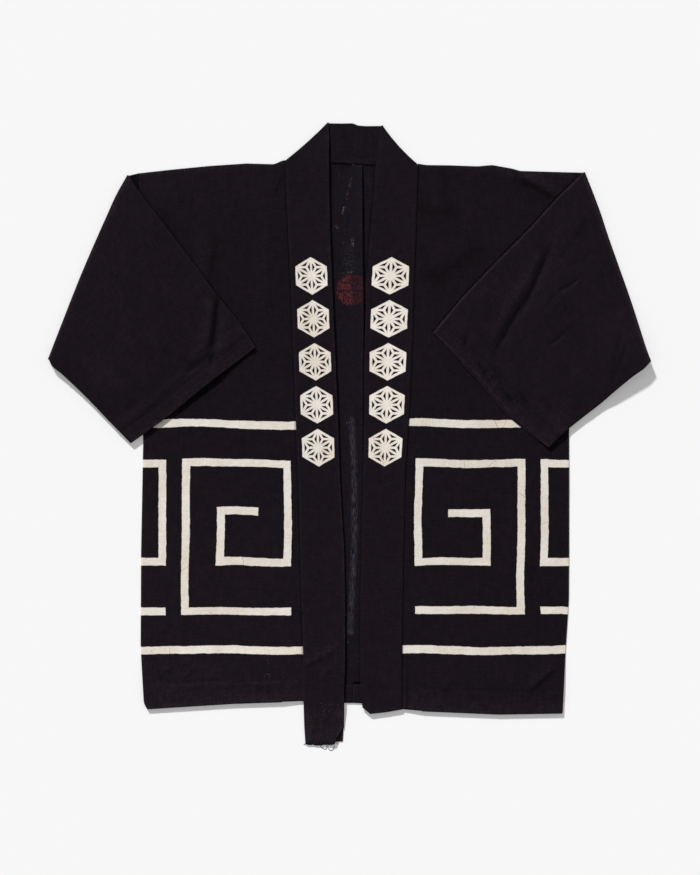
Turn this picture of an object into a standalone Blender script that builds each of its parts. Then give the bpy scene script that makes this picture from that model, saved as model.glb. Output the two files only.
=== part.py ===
"""Happi coat, laid flat with its sleeves folded over the fronts. Blender 4.5, metres, +Z up.

The coat lies on z = 0 with its collar towards +Y and its front up, centred on the origin.
Each cloth is a mid-surface: grids of points, welded together, then given its wall by Solidify.
The cloths lie on each other in layers, one PITCH apart, and turn over at half round edges.
"""

import math

import bmesh
import bpy
import numpy as np

MM = 0.001

# ---------------------------------------------------------------- driving dimensions
CLOTH = 1.0 * MM            # wall of one layer of cloth
SEAM_GAP = 0.3 * MM         # air between neighbouring cloths, and at the seams
PITCH = CLOTH + SEAM_GAP    # from one layer to the next
HEM_DEPTH = 26 * MM         # cloth turned up inside at the hem
HEM_SHELF = 40 * MM         # how far above its hem a front still lies on the turned cloth
HEM_RAMP = 95 * MM          # how far above its hem a front is back on the layer below
CUFF_DEPTH = 20 * MM        # cloth turned in at the cuff
BAND_LAP = 9.5 * MM         # the fronts' edge inside the collar band
NECK_GAP = 0.8 * MM         # between the backs and the band across the back neck
CENTRE_BACK = 5.5 * MM      # x of the centre-back seam
SEAM_STEP = 3.5 * MM        # width in which the seam allowance climbs on to the right width
BACK_LAP = 15.5 * MM        # that allowance, pressed to the right
LAP_END = 45 * MM           # the allowance ends this far above the hem
CENTRE_GAP = 0.4 * MM       # between the centre-back seam and the right width
TURN_STEPS = 4              # facets round an edge
CREASE_STEPS = 6            # facets round a sleeve's or the collar's fold
WELD = 0.002 * MM

INDIGO_BLACK = (0.0100, 0.0075, 0.0100, 1.0)
BAND_BLACK = (0.0115, 0.0085, 0.0120, 1.0)

# ---------------------------------------------------------------- places, in millimetres
# x to the right, y towards the collar. Each edge is listed as (x, y) from the side inwards.
BODY = {
    "left": {
        "side": [(-309.2, 384.0), (-309.2, 110.0), (-302.9, -9.0), (-306.0, -172.0),
                 (-306.7, -312.0), (-301.9, -395.0), (-297.2, -403.0)],
        "shoulder": [(-309.4, 382.9), (-260.9, 388.3), (-205.7, 393.7), (-151.0, 397.4),
                     (-112.0, 396.3), (-107.0, 397.6), (-93.3, 402.7)],
        "front_hem": [(-297.2, -403.9), (-169.7, -396.0), (-69.8, -392.7)],
        "back_hem": [(-297.2, -398.6), (5.0, -394.8)],
    },
    "right": {
        "side": [(330.0, 384.5), (328.0, 110.0), (322.6, 2.0), (322.6, -181.0),
                 (322.2, -243.0), (317.7, -315.0), (313.0, -408.0)],
        "shoulder": [(330.5, 384.1), (250.6, 386.4), (238.4, 389.9), (209.5, 395.1),
                     (188.2, 393.2), (147.8, 394.6), (112.5, 395.1), (100.2, 397.4)],
        "front_hem": [(313.0, -410.1), (219.0, -411.7), (107.4, -407.0), (77.2, -404.6)],
        "back_hem": [(312.4, -403.0), (5.0, -394.8)],
    },
}

# The collar band down a front, one row for each place: y and x of its seam edge, y and x of
# its free edge, and how many layers each edge is raised, counted from the neck corner's height.
BAND = {
    "left": [
        (394.0, -93.3, 395.0, -29.8, 0.0, 0.0),
        (372.0, -93.3, 372.0, -29.5, -0.45, -0.45),
        (350.0, -92.0, 350.0, -29.2, -1.0, -1.0),
        (301.0, -89.9, 301.0, -28.2, -1.0, -1.0),
        (225.0, -86.0, 225.0, -25.2, -1.0, -1.0),
        (114.0, -81.5, 114.0, -20.2, -1.0, -1.0),
        (25.0, -79.0, 25.0, -16.4, -1.0, -1.0),
        (-66.0, -74.9, -66.0, -13.6, -1.0, -1.0),
        (-172.0, -72.0, -172.0, -7.2, -1.0, -1.0),
        (-243.0, -70.0, -243.0, -6.0, -1.0, -1.0),
        (-285.0, -68.8, -285.0, -6.0, -1.0, -1.0),
        (-330.0, -67.8, -330.0, -6.0, 0.0, 0.0),
        (-380.0, -67.8, -380.0, -7.6, 0.0, 0.0),
        (-399.0, -67.2, -399.0, -7.2, 0.0, 0.0),
        (-430.0, -66.3, -430.0, -7.6, -2.0, -2.0),
        (-456.4, -64.6, -452.6, -8.6, -2.0, -2.0),
    ],
    "right": [
        (393.0, 100.2, 391.0, 38.0, 0.0, 0.0),
        (372.0, 100.3, 372.0, 37.3, -0.45, 0.0),
        (350.0, 99.4, 350.0, 35.8, -1.0, 0.0),
        (301.0, 97.9, 301.0, 31.6, -1.0, 0.0),
        (225.0, 95.4, 225.0, 24.6, -1.0, 0.0),
        (114.0, 91.9, 114.0, 21.7, -1.0, 0.0),
        (25.0, 87.8, 25.0, 21.4, -1.0, 0.0),
        (-66.0, 81.7, -66.0, 20.2, -1.0, 0.0),
        (-172.0, 79.6, -172.0, 18.0, -1.0, 0.0),
        (-243.0, 78.4, -243.0, 16.5, -1.0, 0.0),
        (-285.0, 77.8, -285.0, 16.2, -1.0, 0.0),
        (-330.0, 77.2, -330.0, 16.1, 0.0, 0.0),
        (-380.0, 77.2, -380.0, 16.1, 0.0, 0.0),
        (-405.6, 77.2, -404.0, 18.8, 0.0, 0.0),
    ],
}
# Where the band's 45 degree folds run at the neck corners: (free edge, seam edge).
NECK_CORNER = {
    "left": ((-29.8, 455.4), (-91.4, 400.6)),
    "right": ((46.4, 450.6), (97.9, 394.9)),
}
# The band across the back neck: x, y of its seam, y of its free edge.
BACK_NECK = [(-12.0, 396.4, 455.4), (5.5, 395.4, 454.6), (23.0, 394.6, 451.6)]

# A sleeve folded over its front. The crease is the fold line, from shoulder to underarm, and
# the cuff, top and underarm edges are those of the folded part, seen from above.
SLEEVE = {
    "left": {
        "armhole": [(-309.7, 382.4), (-309.7, 110.5)],
        "crease": [(-323.6, 377.2), (-340.2, 349.0), (-354.0, 317.9), (-388.6, 238.8), (-439.6, 109.0)],
        "cuff": [(-137.4, 127.1), (-210.7, 70.9), (-264.7, 27.1), (-320.8, -13.9)],
        "top": [(-323.6, 377.2), (-310.6, 357.8), (-271.4, 307.0), (-229.0, 250.8), (-193.0, 202.3),
                (-165.8, 168.8), (-137.4, 127.1)],
        "under": [(-439.6, 109.0), (-436.2, 101.8), (-419.8, 86.2), (-397.0, 64.7), (-376.2, 43.8),
                  (-357.1, 23.5), (-337.9, 3.8), (-320.8, -13.9)],
    },
    "right": {
        "armhole": [(330.5, 383.4), (328.5, 110.5)],
        "crease": [(341.6, 382.0), (356.4, 350.8), (375.0, 296.4), (392.2, 247.9), (412.9, 187.1), (438.8, 106.0)],
        "cuff": [(122.1, 149.0), (186.8, 84.6), (238.4, 26.8), (268.8, -0.5), (292.6, -20.8)],
        "top": [(341.6, 382.0), (302.6, 344.2), (269.6, 307.4), (227.4, 264.7), (172.2, 207.4), (122.1, 149.0)],
        "under": [(438.8, 106.0), (432.4, 97.8), (414.4, 84.0), (391.5, 64.8), (341.7, 23.8), (316.4, 3.2),
                  (292.6, -20.8)],
    },
}

# Soft folds: x and y of one end, x and y of the other, half width and height, in millimetres.
FRONT_FOLDS = [
    (238.0, 381.0, 293.0, 346.0, 15.5, 1.8),
    (-197.0, 286.0, -205.0, 213.0, 26.0, 1.2),
    (160.0, 330.0, 130.0, 230.0, 24.0, 1.0),
]
SLEEVE_FOLDS = {
    "left": [
        (-193.0, 188.0, -201.0, 117.0, 20.0, -1.4),
        (-201.0, 117.0, -232.0, 96.0, 18.0, -1.4),
        (-330.0, 240.0, -300.0, 90.0, 34.0, 1.6),
    ],
    "right": [
        (292.0, 270.0, 211.0, 117.0, 20.0, -1.8),
        (335.0, 225.0, 287.0, 180.0, 20.0, 1.6),
        (396.0, 145.0, 384.0, 69.0, 22.0, 1.8),
        (180.0, 190.0, 168.0, 120.0, 20.0, 1.4),
    ],
}
# A sleeve's folded part: how far it stands off the front in the middle, at the cuff and along
# the crease, and how far the outer corner springs off the floor, within the given radius.
SLEEVE_LOFT = {
    "left": {"middle": 1.9, "cuff": 2.6, "crease": 1.4, "corner": 2.5, "radius": 90.0},
    "right": {"middle": 2.1, "cuff": 2.6, "crease": 1.8, "corner": 9.0, "radius": 105.0},
}


# ---------------------------------------------------------------- geometry helpers
def layer(number):
    """Height of the middle of a cloth that lies on this many others."""
    return CLOTH / 2 + number * PITCH


def ease(share):
    """0 to 1 with level ends."""
    share = np.clip(share, 0, 1)
    return share * share * (3 - 2 * share)


def curve(points, shares):
    """A smooth curve through the points (mm), read at these shares of its length, in metres."""
    points = np.array(points, float) * MM
    along = np.concatenate([[0], np.cumsum(np.linalg.norm(np.diff(points, axis=0), axis=1))])
    along /= along[-1]
    slope = np.gradient(points, along, axis=0)
    shares = np.asarray(shares, float)
    i = np.clip(np.searchsorted(along, shares, side="right") - 1, 0, len(along) - 2)
    span = along[i + 1] - along[i]
    t = ((shares - along[i]) / span)[..., None]
    span = span[..., None]
    return (
        (2 * t**3 - 3 * t**2 + 1) * points[i]
        + (t**3 - 2 * t**2 + t) * span * slope[i]
        + (3 * t**2 - 2 * t**3) * points[i + 1]
        + (t**3 - t**2) * span * slope[i + 1]
    )


def read(points, at, column_in=0, column_out=1):
    """One column of a table (mm) as straight runs of another, in metres."""
    table = np.array(points, float) * MM
    table = table[np.argsort(table[:, column_in])]
    return np.interp(at, table[:, column_in], table[:, column_out])


def folds(table, x, y):
    """Height of the soft folds: a rounded ridge along each row's line, fading out at its ends."""
    height = np.zeros_like(x)
    for x0, y0, x1, y1, width, rise in np.array(table) * MM:
        run = np.array([x1 - x0, y1 - y0])
        along = ((x - x0) * run[0] + (y - y0) * run[1]) / (run @ run)
        near = np.clip(along, 0, 1)
        off = np.hypot(x - x0 - near * run[0], y - y0 - near * run[1])
        height += rise * np.exp(-((off / width) ** 2))
    return height


def turn(first, last, outward, steps=TURN_STEPS):
    """The rows between two rows, one above the other, round a half circle that bulges outward."""
    middle, half = (first + last) / 2, (last - first) / 2
    radius = np.linalg.norm(half, axis=-1, keepdims=True)
    angles = np.pi * np.arange(1, steps) / steps
    return [middle - half * math.cos(a) + outward * radius * math.sin(a) for a in angles]


def material(name, colour, roughness):
    made = bpy.data.materials.new(name)
    made.use_nodes = True
    shader = made.node_tree.nodes["Principled BSDF"]
    shader.inputs["Base Color"].default_value = colour
    shader.inputs["Roughness"].default_value = roughness
    shader.inputs["Metallic"].default_value = 0.0
    made.diffuse_color = colour
    return made


def cloth(name, patches, finish):
    """One piece of cloth: its grids of points welded into a surface, with a wall of CLOTH."""
    surface = bmesh.new()
    for patch, round_closed in patches:
        rows, columns = patch.shape[:2]
        verts = [[surface.verts.new(point) for point in row] for row in patch]
        for i in range(rows - 1):
            for j in range(columns if round_closed else columns - 1):
                k = (j + 1) % columns
                surface.faces.new((verts[i][j], verts[i][k], verts[i + 1][k], verts[i + 1][j]))
    bmesh.ops.remove_doubles(surface, verts=surface.verts, dist=WELD)
    bmesh.ops.recalc_face_normals(surface, faces=surface.faces)
    mesh = bpy.data.meshes.new(name)
    surface.to_mesh(mesh)
    surface.free()
    mesh.materials.append(finish)
    mesh.shade_smooth()
    piece = bpy.data.objects.new(name, mesh)
    bpy.context.scene.collection.objects.link(piece)
    wall = piece.modifiers.new("Wall", "SOLIDIFY")
    wall.thickness = CLOTH
    wall.offset = 0.0
    wall.use_even_offset = True
    wall.use_quality_normals = True
    return piece


# ---------------------------------------------------------------- body widths
INSET = (PITCH + CLOTH) / 2        # from a turned edge's outermost line to where its turn begins
NECK_STEP = 0.4 * MM               # between a shoulder's end and the neck opening beside it
COLUMNS = np.array([0.0, 0.14, 0.28, 0.42, 0.57, 0.72, 0.86, 1.0])
NECK_LEVEL = 400 * MM              # y at which the neck opening's width is read
SHOULDER_LEVEL = 384 * MM          # y at which the shoulder's outer end is read
HEM_LEVEL = -400 * MM              # y at which the hem's ends are read
FRONT_TOP_ROWS = [0, 14, 34, 62]   # depths below the shoulder, in millimetres
BACK_TOP_ROWS = [0, 30]
FRONT_MIDDLE_ROWS = 10
BACK_MIDDLE_ROWS = 9
RELIEF_FADE = 60 * MM              # a front's folds are gone within this height of its hem's ramp


def back_neck_seam(x):
    """y of the band's seam edge across the back neck."""
    points = [NECK_CORNER["left"][1], *[row[:2] for row in BACK_NECK], NECK_CORNER["right"][1]]
    return read(points, x)


def rows_down(top, hem, near_top, middle, near_hem):
    """y of each row of a panel: some set down from its top, some set up from its hem, and
    evenly spread rows between them."""
    first = [top - d * MM for d in near_top]
    last = [hem + d for d in near_hem]
    between = list(np.linspace(first[-1], last[0], middle + 2)[1:-1])
    return np.array(first + between + last)


def front_relief(x, y, hem):
    """Soft folds of a front, gone where it lies on its turned hem."""
    return np.maximum(folds(FRONT_FOLDS, x, y), 0) * ease((y - hem - HEM_RAMP) / RELIEF_FADE)


def body_width(side, finish):
    """One loom width: back hem, back, over the shoulder, front, front hem, with its centre edge."""
    table = BODY[side]
    inward = 1 if side == "left" else -1
    down = np.array([0, -1, 0])

    def side_x(y):
        return read(table["side"], y, 1, 0)

    def seam_x(y):
        return read([(row[1], row[0]) for row in BAND[side]], y, 1, 0)

    neck_x = seam_x(NECK_LEVEL) - inward * NECK_STEP
    outer_x = side_x(SHOULDER_LEVEL)
    shoulder_x = outer_x + COLUMNS * (neck_x - outer_x)
    shoulder_y = read(table["shoulder"], shoulder_x) - INSET

    # front: the columns up to the neck, then two more inside the collar band
    cut_x = neck_x + inward * np.array([2 * NECK_STEP, NECK_STEP + BAND_LAP])
    top = np.concatenate([shoulder_y, back_neck_seam(cut_x) - NECK_GAP])
    hem_end = seam_x(HEM_LEVEL)
    hem_x = side_x(HEM_LEVEL) + COLUMNS * (hem_end - side_x(HEM_LEVEL))
    hem = read(table["front_hem"], np.concatenate([hem_x, hem_end + 0 * cut_x])) + INSET
    y = rows_down(top, hem, FRONT_TOP_ROWS, FRONT_MIDDLE_ROWS, [HEM_RAMP, HEM_SHELF, HEM_DEPTH, 0])
    edge = np.concatenate([COLUMNS, [1.0, 1.0]])
    offset = inward * np.array([0] * (len(COLUMNS) - 1) + [-NECK_STEP, NECK_STEP, BAND_LAP])
    x = side_x(y) + edge * (seam_x(y) - side_x(y)) + offset
    x[0, : len(COLUMNS)] = shoulder_x
    on_hem = 1 - ease((y - hem - HEM_SHELF) / (HEM_RAMP - HEM_SHELF))
    raised = np.array([2.0] * (len(COLUMNS) - 1) + [1.0] * 3)
    relief = front_relief(x, y, hem)
    relief[:, len(COLUMNS) - 1 :] = 0
    front = np.stack([x, y, layer(1) + raised * PITCH * on_hem + relief], axis=-1)

    # front hem, turned up inside; it stops short of the collar band
    last = len(COLUMNS) - 1
    under = front[-2:, :last].copy()
    under[..., 2] -= PITCH
    front_hem = np.array([front[-1, :last], *turn(front[-1, :last], under[-1], down), under[-1], under[0]])

    # back: the same columns up to the neck, then more across to the centre
    centre = CENTRE_BACK - SEAM_STEP if side == "left" else CENTRE_BACK + CENTRE_GAP
    neck_in = neck_x + inward * 2 * NECK_STEP
    across = neck_in + np.linspace(0, 1, 4) * (centre - neck_in)
    if side == "left":
        across = np.append(across, CENTRE_BACK)
    top = np.concatenate([shoulder_y, back_neck_seam(across) - NECK_GAP])
    hem = read(table["back_hem"], np.concatenate([hem_x, across])) + INSET
    y = rows_down(top, hem, BACK_TOP_ROWS, BACK_MIDDLE_ROWS, [HEM_RAMP, LAP_END, HEM_DEPTH, 0])
    x = side_x(y)[:, :1] + 0 * y
    x[:, : len(COLUMNS)] = side_x(y[:, : len(COLUMNS)]) * (1 - COLUMNS) + neck_x * COLUMNS
    x[:, len(COLUMNS) :] = across
    x[0, : len(COLUMNS)] = shoulder_x
    back = np.stack([x, y, layer(0) + 0 * y], axis=-1)
    if side == "left":
        back[:-2, -1, 2] = layer(1)
    under = back[-2:].copy()
    under[..., 2] = layer(1)
    back_hem = np.array([back[-1], *turn(back[-1], under[-1], down), under[-1], under[0]])

    shoulder = np.array([
        back[0, : len(COLUMNS)],
        *turn(back[0, : len(COLUMNS)], front[0, : len(COLUMNS)], -down),
        front[0, : len(COLUMNS)],
    ])
    patches = [front, front_hem, back, back_hem, shoulder]
    if side == "left":
        lap = np.stack([back[:-2, -1], back[:-2, -1] + [BACK_LAP, 0, 0]], axis=1)
        patches.append(lap)
    return cloth(f"body_{side}", [(p, False) for p in patches], finish)


# ---------------------------------------------------------------- sleeves
ACROSS = 10                        # facets across one side of a sleeve
ALONG = 9                          # rows from a sleeve's crease to its cuff
FOLD_HEIGHT = layer(1.5)           # middle of a fold between the second and third layers
CREASE_REACH = 0.4                 # share of a sleeve in which it stands up towards its crease


def folded_place(table, f, s):
    """Place on the folded part of a sleeve, at shares f from top to underarm and s from crease
    to cuff: the Coons patch of its four edges."""
    crease, cuff = curve(table["crease"], f), curve(table["cuff"], f)
    top, under = curve(table["top"], s), curve(table["under"], s)
    a, b = np.array(table["crease"][0]) * MM, np.array(table["crease"][-1]) * MM
    d, c = np.array(table["cuff"][0]) * MM, np.array(table["cuff"][-1]) * MM
    f, s = f[..., None], s[..., None]
    corners = (1 - f) * ((1 - s) * a + s * d) + f * ((1 - s) * b + s * c)
    return (1 - s) * crease + s * cuff + (1 - f) * top + f * under - corners


def sleeve_ring(plan, middle, half, inset, turned, outward):
    """One ring of a flattened tube: out along the lower cloth, round the underarm edge, back
    along the upper cloth and round the top edge. middle and half are its height and half height
    before the fold, inset moves its edges in, and turned is its angle round the crease."""
    start, end = plan[1] - plan[0], plan[-1] - plan[-2]
    start, end = start / np.linalg.norm(start), end / np.linalg.norm(end)
    plan = plan.copy()
    plan[0] += start * inset
    plan[-1] -= end * inset
    low = np.column_stack([plan, np.full(len(plan), middle - half)])
    high = np.column_stack([plan[::-1], np.full(len(plan), middle + half)])
    ring = np.array([
        *low,
        *turn(low[-1], high[0], np.append(end, 0)),
        *high,
        *turn(high[-1], low[0], np.append(-start, 0)),
    ])
    arm = FOLD_HEIGHT - ring[:, 2]
    ring[:, :2] += outward * (arm * math.sin(turned))[:, None]
    ring[:, 2] = FOLD_HEIGHT - arm * math.cos(turned)
    return ring


def sleeve(side, finish):
    """A sleeve: a flattened tube from the armhole to the crease, over it, and on to the cuff,
    where its edge is turned in."""
    table, loft = SLEEVE[side], SLEEVE_LOFT[side]
    share = np.linspace(0, 1, ACROSS + 1)
    crease = curve(table["crease"], share)
    armhole = curve(table["armhole"], share)
    chord = crease[-1] - crease[0]
    outward = np.array([chord[1], -chord[0]]) / np.linalg.norm(chord)
    if side == "right":
        outward = -outward
    inner, outer = PITCH / 2, 1.5 * PITCH        # half heights of the tube, and at the cuff
    length = np.linalg.norm(folded_place(table, share, 0 * share + 1) - crease, axis=1)

    rings, rows = [], []                         # rows: share from crease to cuff of each ring

    def add(plan, middle, half, edge, turned, s):
        rings.append(sleeve_ring(plan, middle, half, edge + CLOTH / 2, turned, outward))
        rows.append(s)

    for s in (0, 0.35, 0.7, 1):
        plan = armhole + s * (crease - armhole)
        add(plan, layer(0.5), inner, inner, 0, 0)
    for step in range(1, CREASE_STEPS + 1):
        add(crease, layer(0.5), inner, inner, math.pi * step / CREASE_STEPS, 0)
    for step in range(1, ALONG + 1):             # up to two cuff depths from the cuff
        s = step / ALONG * (1 - 2.2 * CUFF_DEPTH / length)
        add(folded_place(table, share, s), layer(0.5), inner, inner, math.pi, s.mean())
    high = layer(1) - outer                      # middle of the deeper tube at the cuff
    for depth in (1.3 * CUFF_DEPTH, 0.6 * CUFF_DEPTH, CLOTH):
        s = 1 - depth / length
        add(folded_place(table, share, s), high, outer, outer, math.pi, s.mean())
    cuff = folded_place(table, share, 1 - CLOTH / length)
    onward = cuff - folded_place(table, share, 1 - CUFF_DEPTH / length)
    onward /= np.linalg.norm(onward, axis=1, keepdims=True)
    for step in range(1, TURN_STEPS):
        angle = math.pi * step / TURN_STEPS
        half = PITCH + inner * math.cos(angle)
        add(cuff + onward * inner * math.sin(angle), high, half, outer, math.pi, 1)
    for depth in (CLOTH, 0.6 * CUFF_DEPTH, CUFF_DEPTH):
        s = 1 - depth / length
        add(folded_place(table, share, s), high, inner, outer, math.pi, s.mean())

    points, rows = np.array(rings), np.array(rows)[:, None]
    x, y, z = points[..., 0], points[..., 1], points[..., 2]
    folded = ease((z - layer(1)) / PITCH)
    ends = np.clip(4 * rows * (1 - rows), 0, 1)
    stand = loft["middle"] * ends + loft["cuff"] * ease((rows - 0.55) / 0.45)
    stand = stand + loft["crease"] * ease(1 - rows / CREASE_REACH)
    corner = crease[-1]
    reach = np.clip(np.hypot(x - corner[0], y - corner[1]) / (loft["radius"] * MM), 0, 1)
    lift = folded * (stand * MM + folds(SLEEVE_FOLDS[side], x, y) * ease(rows / 0.25) * ease((1 - rows) / 0.1))
    over_front = np.maximum(folds(FRONT_FOLDS, x, y), 0)
    points[..., 2] = z + lift + folded * over_front + loft["corner"] * MM * (1 - reach**2) ** 2
    return cloth(f"sleeve_{side}", [(points, True)], finish)


# ---------------------------------------------------------------- collar band
BAND_ACROSS = 4                    # facets across the band


def band_section(seam, free, turned, outward, lap, lifts):
    """The band's section at one place: along the inner leg from its edge, round the free edge
    and back along the outer leg to the seam. The inner leg lies on the outer one at the back
    neck, and below it where the band has turned over."""
    seam, free = np.array(seam), np.array(free)
    across = (free - seam) / np.linalg.norm(free - seam)
    free = free - across * INSET
    width = np.linalg.norm(free - seam)
    share = np.linspace(0, 1, BAND_ACROSS + 1)
    inner = seam + across * (lap + share[:, None] * (width - lap))
    outer = free + share[:, None] * (seam - free)
    low = np.column_stack([inner, np.full(len(inner), layer(1))])
    high = np.column_stack([outer, np.full(len(outer), layer(0))])
    section = np.array([*low, *turn(low[-1], high[0], np.append(across, 0)), *high])
    at = np.clip((section[:, :2] - seam) @ across / width, 0, 1)
    arm = FOLD_HEIGHT - section[:, 2]
    section[:, :2] += outward * (arm * math.sin(turned))[:, None]
    section[:, 2] = FOLD_HEIGHT - arm * math.cos(turned)
    section[:, 2] += (lifts[0] + (lifts[1] - lifts[0]) * ease(at)) * PITCH
    return section


def collar_band(finish):
    """The band from its left end up the left front, across the back neck and down the right."""
    lap = BAND_LAP + SEAM_GAP
    sections = {"left": [], "right": []}
    for side in ("left", "right"):
        free, seam = (np.array(point) * MM for point in NECK_CORNER[side])
        chord = free - seam
        outward = np.array([-chord[1], chord[0]]) / np.linalg.norm(chord)
        if side == "right":
            outward = -outward
        for seam_y, seam_x, free_y, free_x, *lifts in BAND[side][::-1]:
            ends = np.array([(seam_x, seam_y), (free_x, free_y)]) * MM
            sections[side].append(band_section(*ends, math.pi, outward, lap, lifts))
        for share in (0.66, 0.33):               # from the shoulder up to the corner's fold
            top = BAND[side][0]
            low_seam, low_free = np.array([(top[1], top[0]), (top[3], top[2])]) * MM
            ends = (seam + share * (low_seam - seam), free + share * (low_free - free))
            sections[side].append(band_section(*ends, math.pi, outward, lap * share, (0, 0)))
        for step in range(CREASE_STEPS + 1):
            angle = math.pi * (1 - step / CREASE_STEPS)
            sections[side].append(band_section(seam, free, angle, outward, 0, (0, 0)))
    neck = [
        band_section(np.array([x, seam_y]) * MM, np.array([x, free_y]) * MM, 0, np.zeros(2), 0, (0, 0))
        for x, seam_y, free_y in BACK_NECK
    ]
    rows = np.array(sections["left"] + neck + sections["right"][::-1])
    return cloth("collar_band", [(rows, False)], finish)


def main():
    for old in list(bpy.data.objects):
        bpy.data.objects.remove(old)
    cotton = material("dyed_cotton", INDIGO_BLACK, 0.9)
    band = material("dyed_cotton_band", BAND_BLACK, 0.9)
    for side in ("left", "right"):
        body_width(side, cotton)
        sleeve(side, cotton)
    collar_band(band)


main()
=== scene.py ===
"""Happi coat laid flat with its sleeves folded over the fronts, in old resist-dyed cotton.

Blender 4.5, metres, +Z up. The coat lies on z = 0 with its collar towards +Y and its front up.
Every cloth is a grid of points worked out with numpy on the form of the solid that it stands
for, with finer creases, then given its wall by Solidify. Run the file as a script.
"""

import math
import operator
from functools import partialmethod, reduce

import bmesh
import bpy
import numpy as np
from bpy.props import FloatProperty, FloatVectorProperty, PointerProperty
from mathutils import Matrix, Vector
from mathutils.bvhtree import BVHTree


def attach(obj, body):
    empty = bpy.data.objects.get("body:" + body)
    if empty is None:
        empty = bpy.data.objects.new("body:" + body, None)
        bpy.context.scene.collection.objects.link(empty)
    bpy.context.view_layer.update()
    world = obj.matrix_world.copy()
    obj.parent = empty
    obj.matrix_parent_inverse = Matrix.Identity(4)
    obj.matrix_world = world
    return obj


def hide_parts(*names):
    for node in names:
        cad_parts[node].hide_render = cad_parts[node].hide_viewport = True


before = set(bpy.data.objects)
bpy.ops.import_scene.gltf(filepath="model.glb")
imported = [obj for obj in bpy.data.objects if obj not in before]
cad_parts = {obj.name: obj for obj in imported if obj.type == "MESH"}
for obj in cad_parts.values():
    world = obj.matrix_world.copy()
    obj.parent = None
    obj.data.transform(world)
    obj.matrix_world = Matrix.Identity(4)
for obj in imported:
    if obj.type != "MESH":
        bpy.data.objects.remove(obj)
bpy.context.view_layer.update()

bl_info = {
    "name": "Happi coat laid flat",
    "version": (1, 0, 0),
    "blender": (4, 5, 0),
    "location": "3D View > Sidebar > Happi coat",
    "description": "Makes the cloth, stitching and stage of a resist-dyed cotton happi coat",
    "category": "Object",
}

MM = 0.001

# ---- driving dimensions
CLOTH = 1.0 * MM  # wall of one layer of cloth in the solids
PITCH = CLOTH + 0.3 * MM  # from one layer to the next
HEM_DEPTH = 26 * MM  # cloth turned up inside at the hem
HEM_SHELF = 31 * MM  # how far above its hem a front still lies on the turned cloth
HEM_RAMP = 95 * MM  # how far above its hem a front is back on the layer below
CUFF_DEPTH = 20 * MM  # cloth turned in at the cuff
# In those depths inside the edge: where the tube starts to deepen, its run, and where it is deep.
CUFF_FROM, CUFF_RUN, CUFF_FULL = 2.2, 0.9, 1.2
CUFF_EDGE_DIP = (-0.5 * MM, 2.2 * MM)  # the turned cloth's edge, showing through
CUFF_EDGE_FROM = 1.5 * MM  # and how far beyond that cloth it lies
BAND_LAP = 9.5 * MM  # the fronts' edge inside the collar band
NECK_GAP = 0.8 * MM  # between the backs and the band across the back neck
BACK_TUCK = 4.3 * MM  # how far the back's edge reaches under the band at the back neck
TUCK_FROM = 22 * MM  # that tuck starts this far from the neck corners
CENTRE_BACK = 5.5 * MM  # x of the centre-back seam
SEAM_GAP = 0.05 * MM  # between the two widths where they lie edge to edge
SEAM_STEP = 3.5 * MM  # width in which the seam allowance climbs on to the right width
LAP_END = 29 * MM  # the allowance ends this far above the hem
LAP_COLUMNS = 7  # columns across the allowance
INSET = (PITCH + CLOTH) / 2  # from a turned edge's outermost line to where its turn begins
NECK_STEP = 0.4 * MM  # between a shoulder's end and the neck opening beside it
BESIDE_BAND = 0.14  # share of a front, next to the band, in which it comes down to it
TURN_STEPS = 5  # facets round an edge
EDGE_COLUMNS = 7  # columns that a sleeve's turned edge moves in
SLEEVE_SPAN = {"left": 0.28, "right": 0.29}  # width of a flattened sleeve, for its columns' spacing
CREASE_STEPS = 9  # facets round a sleeve's or the collar's fold
FOLD_HEIGHT = CLOTH / 2 + 1.5 * PITCH  # middle of a fold between the second and third layers
CREASE_SHARP = 1.35  # 1 gives every crease a sharp line, 2 a round one
WELD = 0.002 * MM
PANEL_TOP = 62 * MM  # length of a panel's finely set top
PANEL_MIDDLE = 635 * MM  # length of a panel between its finely set ends
SHOULDER = 395 * MM  # y from which the cloth's length is measured, down front and back
NECK_LEVEL = 400 * MM  # y at which the fronts' width is read, at the neck,
SHOULDER_LEVEL = 384 * MM  # at the sleeves' tops
HEM_LEVEL = -400 * MM  # and at the hem
FRONT_SPREAD = 1.12  # spacing of a front's columns, in steps
BACK_SPREAD = 1.2  # spacing of the columns across the back
SIDE_CLOSES = 8 * MM  # run below the armhole in which the side's edge takes its turn
TURN_RUN = 14 * MM  # run from a hem in which the relief comes up
TOP_RUN = 12 * MM  # and from the shoulder
# How far below its level the relief of a cloth may dip.
LOWEST = {"front": -0.6 * MM, "sleeve": -1.1 * MM, "sleeve's lower cloth": -0.3 * MM, "band": -0.45 * MM}
HEM_RIDGE = (0.35 * MM, 3 * MM)  # the turned hem's edge, showing through: height and half width
NECK_DIP = (0.65 * MM, 8 * MM)  # the back's rise beside the band: height and half width,
NECK_DIP_FROM, NECK_DIP_RUN = 6 * MM, 12 * MM  # this far inside the neck corner, over this run
BACK_TOP_RUN, BACK_RUN = 10 * MM, 20 * MM  # runs from the back's top, and from its hem and side, in
BACK_RISE, BACK_MOST = 0.3 * MM, 1 * MM  # which its unevenness comes in; its level and its limit

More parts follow.
